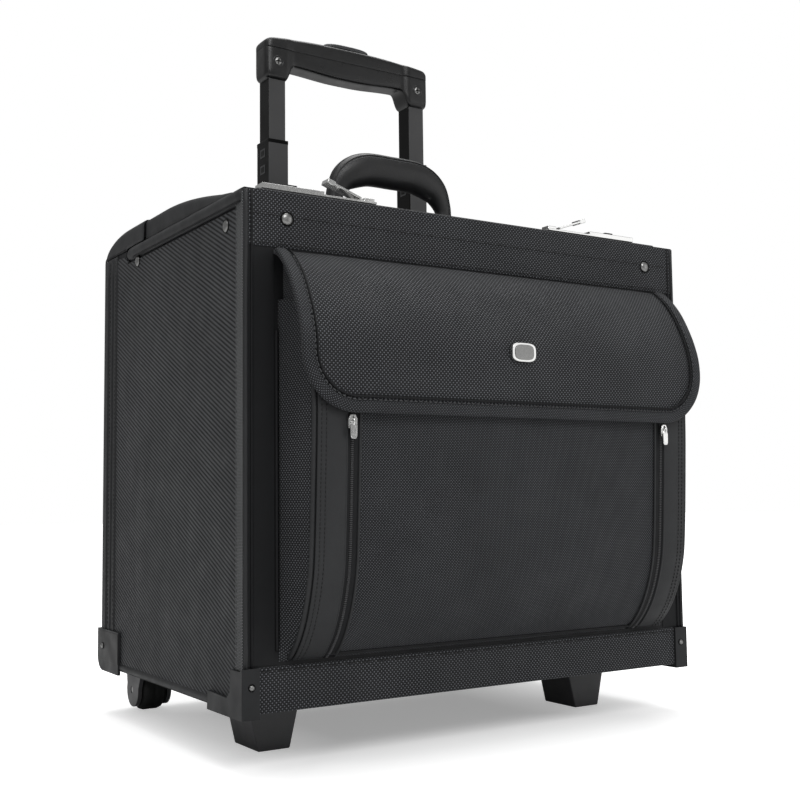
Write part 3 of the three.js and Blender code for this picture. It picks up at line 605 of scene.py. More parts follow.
def build_sides():
    low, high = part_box("side_panel_left")
    foot, under_roll, bend = BOTTOM + 6 * MM, ROLL_LOW.z - 0.3 * MM, FRONT + 13 * MM
    board = [(low.y, low.z), (high.y, low.z), (high.y, high.z), (ROLL_HIGH.y + 0.3 * MM, high.z),
             (ROLL_HIGH.y + 0.3 * MM, under_roll), (low.y, under_roll)]
    weave = [(bend, foot), (REAR_STRIP_Y, foot), (REAR_STRIP_Y, REAR_TOP - 4 * MM),
             (ROLL_HIGH.y + 2 * MM, REAR_TOP - 6 * MM), (ROLL_HIGH.y - 6 * MM, ROLL_LOW.z - 2 * MM),
             (bend, ROLL_LOW.z - 2 * MM)]
    strip_behind = rectangle(REAR_STRIP_Y - 0.4 * MM, REAR - 1 * MM, foot, REAR_TOP - 1 * MM)
    # The lighter weave wrapped round each front corner: painted sheen along the edge.
    wrap = [(FRONT + 0.8 * MM, BOTTOM + 33 * MM), (FRONT + 13.6 * MM, BOTTOM + 33 * MM),
            (FRONT + 13.6 * MM, ROLL_LOW.z + 2 * MM), (FRONT + 0.8 * MM, FRONT_TOP - 2 * MM)]
    for side, sign in SIDES:
        slab(f"side_board_{side}", board, 0, *lateral(sign, HALF - WALL, HALF - 0.8 * MM), 1.2 * MM, DARK_BINDING,
             replaced=[f"side_panel_{side}"], slot="weave_fabric")
        for name, points, proud, bevel, look in (("weave", weave, 0, 0.8, SIDE_WEAVE),
                                                 ("rear_strip", strip_behind, 0.5, 0.8, BINDING),
                                                 ("front_wrap", wrap, 0.7, 0.9, EDGE_WEAVE_PAINTED_SHEEN)):
            skin = lateral(sign, HALF - 2.5 * MM, HALF + proud * MM)
            slab(f"side_{name}_{side}", points, 0, *skin, bevel * MM, look)
        x = sign * (HALF + 0.5 * MM)
        for k, (y, radius) in enumerate(((REAR - 14 * MM, 1.2), (REAR - 26 * MM, 1.2), (REAR_STRIP_Y + 1 * MM, 0.9))):
            rib = line((x, y, BOTTOM + 8 * MM), (x, y, REAR_TOP - 3 * MM), 24)
            cord_line(f"side_rear_rib_{side}_{k}", rib, radius * MM, BINDING)
        for k, y in enumerate((REAR - 19 * MM, REAR_STRIP_Y + 4 * MM)):
            row = line((x, y, BOTTOM + 40 * MM), (x, y, REAR_TOP - 4 * MM))
            stitches(f"side_stitch_rear_{side}_{k}", row, X * sign, DARK_THREAD)
        x, y = sign * (HALF + 0.7 * MM), FRONT + 11.4 * MM
        stitches(f"side_stitch_front_{side}", line((x, y, BOTTOM + 36 * MM), (x, y, ROLL_LOW.z)), X * sign, THREAD)
        build_roll(side, sign)
        for name, y, z in (("front", 33, 378), ("rear", 235, 386)):
            rivet(f"side_rivet_{name}_{side}", (sign * HALF, FRONT + y * MM, BOTTOM + z * MM), X * sign, 5.0 * MM)


def build_roll(side, sign):
    """The padded roll along the top of a side: a stuffed tube with sewn-in ends."""
    start, end, count = ROLL_LOW.y - 4 * MM, ROLL_HIGH.y, 46
    path, scales = [], []
    for i in range(count):
        y = start + (end - start) * i / (count - 1)
        closing = 1 - min(1.0, (end - y) / (16 * MM))
        taper = math.sqrt(max(0.0, 1 - closing ** 2)) * 0.96 + 0.04
        x = sign * (HALF - WALL / 2 - 3 * MM * (1 - taper))
        path.append(Vector((x, y, (ROLL_LOW.z + ROLL_HIGH.z) / 2 - 1.6 * MM * (1 - taper))))
        scales.append((taper * (1 + 0.02 * math.sin(y * 90)), taper * (1 + 0.015 * math.sin(y * 130 + 1))))
    roll = sweep(f"side_roll_{side}", path, [X * sign] * count, [Z] * count, round_section(6.6 * MM, 20), BINDING,
                 scales=scales, replaced=[f"side_rim_{side}"])
    seam = [p + X * sign * 5.2 * MM - Z * 5.2 * MM for p in path[:-4]]
    cord_line(f"side_roll_seam_{side}", seam, 0.8 * MM, DARK_BINDING)


def build_base():
    low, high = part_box("base_board")
    slab("base_cover", rectangle(low.y, high.y, low.z, high.z), 0, low.x, high.x, 2.6 * MM, DARK_BINDING,
         replaced=["base_board"])
    inside = rectangle(-HALF + WALL, HALF - WALL, FRONT + WALL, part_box("inner_rear_wall")[0].y)
    slab("floor_lining", inside, 2, high.z, high.z + 1.2 * MM, 0.5 * MM, LINING)
    low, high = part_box("rear_panel")
    slab("rear_cover", rectangle(low.x, high.x, low.z, high.z), 1, low.y, high.y, 2.4 * MM, WEAVE,
         replaced=["rear_panel"])
    for side, sign in SIDES:
        x, z = sign * (HALF - 1.8 * MM), BOTTOM + 4.6 * MM
        edge = line((x, FRONT + 20 * MM, z), (x, REAR - 20 * MM, z), 40)
        cord_line(f"base_piping_{side}", edge, 3.6 * MM, BINDING)
        border = rectangle(*lateral(sign, HALF - 26 * MM, HALF - 1 * MM), low.z, high.z)
        slab(f"rear_edge_{side}", border, 1, REAR - 2 * MM, REAR + 0.8 * MM, 0.8 * MM, BINDING)
        x, y = sign * (HALF - 23 * MM), REAR + 0.8 * MM
        stitches(f"rear_stitch_{side}", line((x, y, low.z + 4 * MM), (x, y, high.z - 4 * MM)), Y, DARK_THREAD)
    x, y = HALF - 28 * MM, REAR + 0.6 * MM
    for name, z in (("low", low.z + 14 * MM), ("high", high.z - 14 * MM)):
        band = rectangle(-HALF + 26 * MM, HALF - 26 * MM, z - 13 * MM, z + 13 * MM)
        slab(f"rear_band_{name}", band, 1, REAR - 2 * MM, y, 0.6 * MM, BINDING)
        stitches(f"rear_band_stitch_{name}", line((-x, y, z), (x, y, z)), Y, DARK_THREAD)
    refined("inner_rear_wall", LINING, 0.4 * MM)
    refined("front_rail", BINDING, 1.6 * MM)


# ---- lid and deck -------------------------------------------------------------------------
LID_RISE = 19 * MM
LID_CREST_Y = FRONT + 180 * MM
DECK_FLAT_END_Y = FRONT + 262 * MM
HOOD_BEND = 6 * MM
LEDGE = ROLL_HIGH.z + 0.6 * MM
SEAT = REAR_TOP + 0.4 * MM


def arch(y):
    """Height of the top line of the lid."""
    t = min(max((y - LID_LOW.y) / (LID_CREST_Y - LID_LOW.y), 0), 1)
    return LID_HIGH.z - LID_RISE * (1 - math.sin(t * math.pi / 2))


def hood_mesh(name, profile, half, foot, columns=145):
    """A board bent along a (y, z) profile, its side edges turned down to the height foot(y)."""
    rows = []
    for p in profile:
        skirt = max(p.z - foot(p.y), 0.6 * MM)
        bend = min(HOOD_BEND, skirt)
        row = []
        for j in range(columns):
            s = 2 * j / (columns - 1) - 1
            fall = max(0.0, (abs(s) - 0.9) / 0.1)
            turn = min(fall / 0.6, 1) * math.pi / 2
            reach = (half - bend) * min(1, abs(s) / 0.9) + bend * math.sin(turn)
            drop = bend * (1 - math.cos(turn)) + (skirt - bend) * max(0, (fall - 0.6) / 0.4)
            x = math.copysign(reach, s)
            pad = 0.45 * MM * noise.noise(Vector((x * 16, p.y * 16, 1.7))) * (1 - min(1, fall * 3))
            row.append(Vector((x, p.y, p.z - drop + pad)))
        rows.append(row)
    return grid_mesh(name, rows, [lengths_along(row) for row in rows], [[v] * columns for v in lengths_along(profile)])


def hood(mesh, body, node, is_edge):
    """A woven hood over a CAD board, with binding on the faces whose centre is_edge accepts."""
    cover = place(mesh.name, mesh, WEAVE, body, replaced=[node])
    mesh.materials.append(BINDING)
    for face in mesh.polygons:
        if is_edge(face.center):
            face.material_index = 1
    add_modifier(cover, "SOLIDIFY", thickness=1.4 * MM, offset=-1)


def build_lid():
    """One bent padded board with turned-down, bound edges."""
    half, inner = LID_HIGH.x - 0.4 * MM, LID_HIGH.x - 8.7 * MM
    front, rear = LID_LOW.y, LID_HIGH.y
    profile = [Vector((0, y, arch(y))) for y in (front + (rear - front) * i / 59 for i in range(60))]
    hood(hood_mesh("lid_cover", profile, half, lambda y: LEDGE), "lid", "lid_panel",
         lambda p: abs(p.x) > half - 14 * MM or p.y < front + 9 * MM)
    rim = [(p.y, p.z - 1.8 * MM) for p in profile[::6]] + [(rear - 4 * MM, LID_LOW.z + 1 * MM), (front, LID_LOW.z)]
    for side, sign in SIDES:
        top = [p + X * sign * (half - 13.4 * MM) + Z * 0.3 * MM for p in profile[:-4]]
        stitches(f"lid_stitch_{side}", top, Z, DARK_THREAD, "lid")
        slab(f"lid_rim_{side}", rim, 0, *lateral(sign, inner - 5 * MM, inner), 0.8 * MM, DARK_BINDING, "lid")
    x, y = half - 14 * MM, front + 8.4 * MM
    z = arch(y) + 0.3 * MM
    stitches("lid_stitch_front", line((-x, y, z), (x, y, z)), Z, DARK_THREAD, "lid")
    y, z = front + 1.4 * MM, arch(front) - 2.0 * MM
    cord_line("lid_front_welt", line((-inner, y, z), (inner, y, z), 30), 1.9 * MM, BINDING, "lid")
    lining = [(p.y, p.z - 3.2 * MM) for p in profile[2::8]] + [(rear - 3 * MM, LID_HIGH.z - 3.2 * MM)]
    lining += [(y, z - 2.2 * MM) for y, z in reversed(lining)]
    slab("lid_lining", lining, 0, -inner + 5.4 * MM, inner - 5.4 * MM, 0.3 * MM, LINING, "lid")


def deck_profile():
    """Flat from the hinge, then over in one curve onto the rear."""
    top = DECK_HIGH.z
    flat = line((0, DECK_LOW.y, top), (0, DECK_FLAT_END_Y, top), 20)
    a, b = Vector((0, DECK_FLAT_END_Y, top)), Vector((0, DECK_FLAT_END_Y + 30 * MM, top))
    c, d = Vector((0, REAR, top - 5 * MM)), Vector((0, REAR, SEAT))
    curve = []
    for i in range(41):
        t = i / 40
        curve.append(a * (1 - t)**3 + b * 3 * t * (1 - t)**2 + c * 3 * t * t * (1 - t) + d * t**3)
    return flat[:-1] + curve


def build_deck():
    """The rigid deck behind the lid, rolled over onto the rear and open under the trolley's bezel."""
    profile = deck_profile()
    mesh = hood_mesh("deck_cover", profile, HALF - 0.2 * MM, lambda y: LEDGE if y < ROLL_HIGH.y else SEAT)
    low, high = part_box("trolley_bezel")
    with editing(mesh) as made:
        hidden = []
        for face in made.faces:
            p = face.calc_center_median()
            across = abs(p.x) < high.x - 4 * MM and low.y + 1 * MM < p.y < high.y - 1 * MM
            if across and p.z > DECK_HIGH.z - 3 * MM:
                hidden.append(face)
        bmesh.ops.delete(made, geom=hidden, context="FACES")
    hood(mesh, "case", "rear_deck", lambda p: abs(p.x) > HALF - 14 * MM or p.z < SEAT + 9 * MM)
    x, y, z = HALF - 14 * MM, DECK_LOW.y + 3.4 * MM, DECK_HIGH.z + 0.1 * MM
    stitches("deck_stitch_front", line((-x, y, z), (x, y, z)), Z, DARK_THREAD)
    x, y, z = LID_HIGH.x - 3 * MM, DECK_LOW.y - 0.1 * MM, DECK_HIGH.z - 2.4 * MM
    cord_line("hinge_welt", line((-x, y, z), (x, y, z), 24), 1.2 * MM, DARK_BINDING)
    for side, sign in SIDES:
        row = [p + X * sign * (HALF - 13.6 * MM) + Z * 0.3 * MM for p in profile]
        stitches(f"deck_stitch_{side}", row, Z, DARK_THREAD)
        x, z = sign * (HALF - 1.0 * MM), SEAT + 0.9 * MM
        welt = line((x, ROLL_HIGH.y + 2 * MM, z), (x, REAR - 3 * MM, z), 18)
        cord_line(f"deck_welt_{side}", welt, 1.3 * MM, DARK_BINDING)


# ---- front pocket and flap ----------------------------------------------------------------
# Outer lines from the side, each point in millimetres: (forward of the front, above the floor).
# The last is the part of the pocket's side that rises under the flap.
POCKET_LINE = ((1, 82), (11, 90), (22, 104), (31, 122), (38, 145), (41, 168), (44, 220),
               ((FRONT - POCKET_LOW.y) / MM, 272), (45, 306), (38, 338), (28, 360))
FLAP_DEEP = (FRONT - FLAP_LOW.y) / MM
FLAP_LINE = ((1, 401), (10, 397.5), (21, 388.5), (32, 375.5), (41, 360), (48.5, 343), (FLAP_DEEP - 0.8, 325),
             (FLAP_DEEP, 300), (FLAP_DEEP - 0.2, 284), (FLAP_DEEP - 0.6, 270))
GUSSET_LINE = ((0.3, 352), (29, 352), (27, 362), (21, 374), (12, 385), (4, 392), (0.3, 393))


def forward_line(points, count):
    """count points along an outer line, and which way each faces."""
    path = sampled([Vector((0, FRONT - d * MM, z * MM)) for d, z in points], count)
    headings = [heading(path, i) for i in range(count)]
    return path, [Vector((0, -abs(h.z), h.y if h.z > 0 else -h.y)).normalized() for h in headings]


def pocket_rows(path, corner, foot):
    """Cross-sections of the pocket: out from the case, round the corner, across, and back."""
    rows = []
    for i, p in enumerate(path):
        depth = FRONT - p.y
        radius = min(5 * MM, depth * 0.45)
        half = [Vector((foot - (foot - corner) * k / 7, FRONT - (depth - radius) * k / 7, p.z)) for k in range(8)]
        for k in range(1, 6):
            a = math.pi / 2 * k / 5
            half.append(Vector((corner - radius * (1 - math.cos(a)), p.y + radius * (1 - math.sin(a)), p.z)))
        rise = math.sin(math.pi * i / (len(path) - 1))
        for k in range(1, 25):
            x = (corner - radius) * (1 - k / 24)
            bulge = 1.6 * MM * math.cos(math.pi / 2 * min(1, x / (155 * MM))) ** 2 * rise
            wave = 0.35 * MM * noise.noise(Vector((x * 22, p.z * 18, 4.2)))
            half.append(Vector((x, p.y - (bulge + wave) * min(1, depth / (20 * MM)), p.z)))
        rows.append([Vector((-v.x, v.y, v.z)) for v in half] + half[-2::-1])
    return rows


def build_pocket():
    path, normals = forward_line(POCKET_LINE, 90)
    corner = POCKET_HIGH.x - 1.5 * MM
    rows = pocket_rows(path, corner, POCKET_HIGH.x + 5 * MM)
    lengths = [[v] * len(rows[0]) for v in lengths_along(path)]
    mesh = grid_mesh("pocket_body", rows, [lengths_along(row) for row in rows], lengths)
    pocket = place("pocket_body", mesh, FINE_WEAVE, replaced=["pocket_shell"])
    mesh.materials.append(WEAVE)
    mesh.materials.append(DARK_BINDING)
    for face in mesh.polygons:
        reach = abs(face.center.x)
        if reach > corner - 1 * MM:
            face.material_index = 1
        elif reach > 155 * MM:
            face.material_index = 2
    outward(mesh)
    add_modifier(pocket, "SOLIDIFY", thickness=2.5 * MM, offset=-1)
    run = normals[1:82]

    def lane(x, lift):
        """A line up the pocket's front at x, in millimetres."""
        return [Vector((x * MM, p.y, p.z)) + n * (lift * MM) for p, n in zip(path[1:82], run)]

    for side, sign in SIDES:
        strip(f"pocket_binding_{side}", lane(sign * 179, 0.2), run, 25 * MM, 1.5 * MM, BINDING)
        for name, x, lift, radius in (("edge", 193.4, -1.2, 1.9), ("inner_edge", 166.2, 0.9, 1.0),
                                      ("panel_edge", 154.6, 1.0, 1.1)):
            cord_line(f"pocket_{name}_{side}", lane(sign * x, lift), radius * MM, BINDING)
        for k, x in enumerate((188.2, 184.2)):
            stitches(f"pocket_stitch_{side}_{k}", lane(sign * x, 1.75), run, DARK_THREAD, pitch=3.4 * MM)
        strip(f"zip_tape_{side}", lane(sign * 160.4, 0.15), run, 10 * MM, 0.7 * MM, DARK_BINDING,
              replaced=[f"zip_{side}"])
        build_zip_coil(side, lane(sign * 161.5, 0.9), run)
        lip = [Vector((sign * (POCKET_HIGH.x + 6.5 * MM), FRONT - 0.9 * MM, p.z)) for p in path[4:-8]]
        cord_line(f"gusset_welt_{side}", lip, 1.3 * MM, DARK_BINDING)
        under_flap = [(FRONT - d * MM, z * MM) for d, z in GUSSET_LINE]
        slab(f"pocket_gusset_top_{side}", under_flap, 0, *lateral(sign, corner - 1 * MM, corner + 2 * MM), 0.6 * MM,
             WEAVE)
    x, low, high = corner - 6 * MM, path[2] + normals[2] * 0.5 * MM, path[-1]
    cord_line("pocket_hem", line((-x, low.y, low.z), (x, low.y, low.z), 41), 1.2 * MM, DARK_BINDING)
    x, y = corner - 4 * MM, high.y + 1 * MM
    cord_line("pocket_mouth_binding", line((-x, y, high.z), (x, y, high.z), 41), 2.2 * MM, BINDING)


# One tooth of the zip, as a block whose top is smaller than its foot: (across, along, up) from its centre.
TOOTH = ((-1, -1, 0), (1, -1, 0), (1, 1, 0), (-1, 1, 0),
         (-0.7, -0.5, 1), (0.7, -0.5, 1), (0.7, 0.5, 1), (-0.7, 0.5, 1))
TOOTH_FACES = ((0, 1, 5, 4), (1, 2, 6, 5), (2, 3, 7, 6), (3, 0, 4, 7), (4, 5, 6, 7), (3, 2, 1, 0))


def build_zip_coil(side, path, normals):
    """A coil zip: closely spaced small ridges along the tape."""
    verts, faces = [], []
    pitch, wide, long, tall = 1.55 * MM, 2.5 * MM, 0.95 * MM, 0.75 * MM
    carried = 0.0
    for start, end, normal in zip(path, path[1:], normals):
        span = (end - start).length
        along = (end - start) / span
        while carried < span:
            centre, base = start + along * carried, len(verts)
            verts.extend(centre + X * (a * wide / 2) + along * (b * long / 2) + normal * (h * tall) for a, b, h in TOOTH)
            faces.extend([base + k for k in face] for face in TOOTH_FACES)
            carried += pitch
        carried -= span
    mesh = mesh_of(f"zip_coil_{side}", verts, faces)
    box_uv(mesh)
    place(f"zip_coil_{side}", mesh, FOOT_PLASTIC, slot="smooth_binding")


def build_zip_pulls():
    for side, _ in SIDES:
        node = f"zip_pull_{side}"
        low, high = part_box(node)
        x, back = (low.x + high.x) / 2, high.y + 0.4 * MM
        slider = outline(x, high.z, ((-3.8, -11), (3.8, -11), (4, -4), (2.2, -0.3), (-2.2, -0.3), (-4, -4)))
        slab(f"zip_slider_{side}", slider, 1, back - 2.6 * MM, back, 0.6 * MM, CHROME, node, replaced=[node])
        tab = outline(x, low.z, ((-2.9, 2), (-1.8, 0), (1.8, 0), (2.9, 2), (3.1, 10), (1.6, 13), (-1.6, 13), (-3.1, 10)))
        slab(f"zip_tab_{side}", tab, 1, back - 4.0 * MM, back - 2.7 * MM, 0.5 * MM, CHROME, node)
        bridge = [Vector((x, back - (2.2 + 2.1 * math.sin(math.pi * k / 10)) * MM, high.z - (10 - 0.8 * k) * MM))
                  for k in range(11)]
        cord_line(f"zip_bridge_{side}", bridge, 0.8 * MM, CHROME, node)


class Flap:
    """The flap's outer line, from seam to hem, and lines that follow its free edge."""

    def __init__(self):
        self.path, self.normals = forward_line(FLAP_LINE, 60)
        self.steps = lengths_along(self.path)
        self.total = self.steps[-1]
        self.half = FLAP_HIGH.x - 1 * MM
        self.corner = 46 * MM

    def width(self, distance):
        """Half width at a distance from the hem, with rounded lower corners."""
        if distance >= self.corner:
            return self.half
        return self.half - self.corner + math.sqrt(max(0, self.corner**2 - (self.corner - distance) ** 2))

    def at(self, distance):
        """Point and normal on the outer line at a distance from the hem."""
        want = self.total - distance
        for i, (a, b) in enumerate(zip(self.steps, self.steps[1:])):
            if b >= want:
                t = (want - a) / (b - a)
                normal = self.normals[i].lerp(self.normals[i + 1], t).normalized()
                return self.path[i].lerp(self.path[i + 1], t), normal
        return self.path[-1], self.normals[-1]

    def rim(self, inset, lift):
        """Points and normals round the free edge, from seam to seam, a given distance inside it."""
        half, corner, r = self.half, self.corner, self.corner - inset
        start = self.total - 8 * MM
        flat = [(-half + inset, start - (start - corner) * k / 39) for k in range(40)]
        for k in range(1, 18):
            a = math.pi / 2 * k / 18
            flat.append((-half + corner - r * math.cos(a), corner - r * math.sin(a)))
        down = len(flat)
        flat += [(-half + corner + 2 * (half - corner) * k / 30, inset) for k in range(31)]
        flat += [(-x, d) for x, d in reversed(flat[:down])]
        found = [(x, *self.at(d)) for x, d in flat]
        return [p + X * x + n * lift for x, p, n in found], [n for _, _, n in found]


def build_flap():
    flap = Flap()
    rows, count = [], 81
    for i, (p, n) in enumerate(zip(flap.path, flap.normals)):
        wide = flap.width(flap.total - flap.steps[i]) - 2 * MM
        stuffed = math.sin(math.pi * min(1, (i + 6) / (len(flap.path) + 6))) ** 0.8
        row = []
        for j in range(count):
            s = 2 * j / (count - 1) - 1
            pad = 2.2 * MM * (1 - abs(s) ** 6) * stuffed
            soft = 0.5 * MM * noise.noise(Vector((wide * s * 14, p.z * 14, 9.1))) * (1 - abs(s) ** 8)
            row.append(p + X * (wide * s) + n * (-1.6 * MM + pad + soft))
        rows.append(row)
    mesh = grid_mesh("flap_body", rows, [[v.x for v in row] for row in rows], [[v] * count for v in flap.steps])
    body = place("flap_body", mesh, WEAVE, "flap", replaced=["pocket_flap"])
    add_modifier(body, "SOLIDIFY", thickness=3.2 * MM, offset=1)
    edge, normals = flap.rim(4.6 * MM, 0)
    sides = [heading(edge, i).cross(n).normalized() for i, n in enumerate(normals)]
    edge = [p - n * 3.6 * MM for p, n in zip(edge, normals)]
    sweep("flap_binding", edge, sides, normals, flat_section(10 * MM, 5.0 * MM, 2.0 * MM, 4), FINE_WEAVE, "flap",
          slot="smooth_binding")
    seam, normals = flap.rim(9.8 * MM, 1.35 * MM)
    stitches("flap_stitch", seam[4:-4], normals[4:-4], THREAD, "flap", 4.6 * MM)
    # A dark cord where the flap's groove runs: painted shade in the groove.
    cord_line("flap_groove_painted_shade", flap.rim(12.2 * MM, 0.4 * MM)[0], 0.9 * MM, DARK_BINDING, "flap")
    build_badge()


def build_badge():
    """A plain raised plate with a bevelled border and no mark."""
    low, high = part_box("badge_plate")
    centre, size = (low + high) / 2, (high - low) / 2

    def oval(scale):
        return [(centre.x + blunt(c, 0.6) * size.x * scale, centre.z + blunt(s, 0.6) * size.z * scale)
                for c, s in turned(48)]

    slab("badge_rim", oval(1.0), 1, low.y - 2.0 * MM, high.y, 0.5 * MM, CHROME, "flap", replaced=["badge_plate"])
    slab("badge_face", oval(0.8), 1, low.y - 2.5 * MM, low.y, 0.3 * MM, SATIN, "flap", slot="bright_metal")


# ---- carry handle -------------------------------------------------------------------------
def build_handle():
    low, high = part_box("carry_handle")
    y, wide = (low.y + high.y) / 2, high.x
    half = [Vector((-wide + x * MM, y, z)) for x, z in (
        (8.2, low.z), (8.3, low.z + 13 * MM), (10.6, low.z + 27 * MM), (21, low.z + 42.5 * MM),
        (42, high.z - 17.6 * MM), (wide / MM, high.z - 16.5 * MM))]
    path = sampled(half + [Vector((-v.x, v.y, v.z)) for v in half[-2::-1]], 91)
    normals, scales = [], []
    for i in range(len(path)):
        along = heading(path, i)
        normals.append(Vector((-along.z, 0, along.x)).normalized())
        belly = 1 - min(1, max(0, (abs(2 * i / 90 - 1) - 0.30) / 0.52)) ** 1.3
        swell = belly * belly * (3 - 2 * belly)
        scales.append((6.6 + 5.7 * swell, 8.0 + 8.3 * swell))
    section = [(blunt(c, 0.82) * MM, blunt(s, 0.9) * MM) for c, s in turned(32)]
    grip = sweep("handle_grip", path, [Y] * len(path), normals, section, LEATHER, "carry_handle", scales,
                 replaced=["carry_handle"])
    add_modifier(grip, "SUBSURF", levels=1, render_levels=1)
    across, up = math.cos(math.radians(47)) ** 0.82 * MM, math.sin(math.radians(47)) ** 0.9 * MM
    run = normals[3:88]
    for side, sign in (("front", -1), ("rear", 1)):
        seam = [p + Y * (sign * across * deep) + n * (up * tall) for p, n, (deep, tall) in zip(path[3:88], run, scales[3:88])]
        tops = [(Y * sign * 0.6 + n * 0.8).normalized() for n in run]
        cord_line(f"handle_welt_{side}", seam, 0.75 * MM, LEATHER, "carry_handle")
        row = [p + top * 0.1 * MM - n * 2.4 * MM + Y * sign * 1.25 * MM for p, top, n in zip(seam, tops, run)]
        stitches(f"handle_stitch_{side}", row, tops, THREAD, "carry_handle", 3.8 * MM, 0.4 * MM)
    cuff = [(a * 7.1, b * 8.5) for a, b in section]
    for side, sign in SIDES:
        x = sign * (wide - 8.25 * MM)
        collar = line((x, y, low.z + 3 * MM), (x, y, low.z + 12.5 * MM), 5)
        sweep(f"handle_cuff_{side}", collar, [Y] * 5, [X] * 5, cuff, LEATHER, "carry_handle",
              [(1, 1), (1.05, 1.03), (1.06, 1.04), (1.05, 1.03), (1, 1)])
        refined(f"handle_bracket_{side}", CHROME, 0.6 * MM)


# ---- trolley ------------------------------------------------------------------------------
def loft_x(name, stations, material, body, above, below, node, around=40):
    """Rounded-box sections along X. Each station is (x, half depth, low, high) about one y.

    above and below set how round the upper and lower corners are.
    """
    y = middle("grip_lower").y
    verts = []
    for x, deep, low, high in stations:
        for c, s in turned(around):
            power = above if s > 0 else below
            verts.append(Vector((x, y + blunt(c, power) * deep, (low + high) / 2 + blunt(s, power) * (high - low) / 2)))
    last = len(verts) - around
    faces = [[i + j, i + (j + 1) % around, i + around + (j + 1) % around, i + around + j]
             for i in range(0, last, around) for j in range(around)]
    faces += [list(range(around)), [last + j for j in range(around - 1, -1, -1)]]
    mesh = mesh_of(name, verts, faces)
    outward(mesh)
    box_uv(mesh)
    add_modifier(place(name, mesh, material, body, replaced=[node]), "SUBSURF", levels=1, render_levels=1)


def smooth_step(value, low, high):
    t = min(max((value - low) / (high - low), 0), 1)
    return t * t * (3 - 2 * t)


def build_grip():
    low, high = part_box("grip_lower")
    top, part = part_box("grip_upper")[1].z, high.z
    deep, half = (high.y - low.y) / 2, high.x
    lower, upper = [], []
    for i in range(81):
        s = i / 40 - 1
        x = half * math.copysign(1 - (1 - abs(s)) ** 1.35, s)
        end = math.sqrt(max(0.0, 1 - max(0.0, (abs(x) - (half - 9 * MM)) / (9 * MM)) ** 2.4))
        socket = smooth_step(abs(x), 66 * MM, 75 * MM)
        belly = (1 - smooth_step(abs(x), 10 * MM, 66 * MM)) * 3.0 * MM
        bottom = (low.z + 17 * MM - belly) * (1 - socket) + low.z * socket + (1 - end) * 5 * MM
        waist = deep * (0.88 + 0.14 * socket) * (0.62 + 0.38 * end)
        crown = top - 6.5 * MM * (abs(x) / half) ** 2.4 - (1 - end) * 6 * MM
        lower.append((x, waist, bottom, part - 0.1 * MM))
        upper.append((x, waist + 0.15 * MM, part - 0.7 * MM, crown))
    loft_x("grip_lower_shell", lower, PLASTIC, "trolley_upper", 0.1, 0.38, "grip_lower")
    loft_x("grip_upper_shell", upper, PLASTIC, "trolley_upper", 0.55, 0.1, "grip_upper")
    b_low, b_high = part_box("release_button")
    button = []
    for i in range(25):
        s = i / 12 - 1
        full = math.sqrt(max(0.0, 1 - abs(s) ** 3.2))
        button.append(((b_high.x + 1 * MM) * s, (4 + 6.5 * full) * MM, b_low.z + (0.4 - 0.6 * full) * MM,
                       b_high.z - 3.2 * MM * (1 - full)))
    loft_x("button_cap", button, BUTTON, "release_button", 0.6, 0.6, "release_button")
    well = [(4.4 * MM, -0.6 * MM), (5.0 * MM, 0.5 * MM), (5.9 * MM, 0.5 * MM), (6.4 * MM, -0.4 * MM)]
    head = [(0, 0.9 * MM), (2.4 * MM, 0.8 * MM), (3.8 * MM, 0.2 * MM), (4.4 * MM, -0.6 * MM)]
    for side, _ in SIDES:
        spot = middle(f"grip_screw_{side}")
        x, z = spot.x, spot.z
        lathe(f"grip_screw_ring_{side}", well, (x, low.y + 0.1 * MM, z), -Y, PLASTIC, "trolley_upper")
        lathe(f"grip_screw_head_{side}", head, (x, low.y, z), -Y, SATIN, "trolley_upper",
              replaced=[f"grip_screw_{side}"], slot="dark_metal")
        # A dark cross on each screw head where its recess is: painted shade in the recess.
        for k, (w, h) in enumerate(((2.9 * MM, 0.6 * MM), (0.6 * MM, 2.9 * MM))):
            slab(f"grip_screw_cross_{side}_{k}", rectangle(x - w, x + w, z - h, z + h), 1, low.y - 1.05 * MM,
                 low.y - 0.2 * MM, 0.12 * MM, BLACK_METAL_AND_HOLE_SHADE, "trolley_upper", slot="dark_metal")


def sleeve_mesh(name, outer, inner, low, high):
    """An upright rectangular sleeve. outer and inner are (x0, x1, y0, y1)."""
    corners = ((0, 2), (1, 2), (1, 3), (0, 3))
    verts = [(span[a], span[b], z) for z in (low, high) for span in (outer, inner) for a, b in corners]
    faces = []
    for i in range(4):
        j = (i + 1) % 4
        faces += [[i, j, 8 + j, 8 + i], [12 + i, 12 + j, 4 + j, 4 + i]]
        faces += [[8 + i, 8 + j, 12 + j, 12 + i], [4 + i, 4 + j, j, i]]
    mesh = mesh_of(name, verts, faces)
    outward(mesh)
    box_uv(mesh)
    return mesh


def grown(low, high, by):
    return (low.x - by, high.x + by, low.y - by, high.y + by)


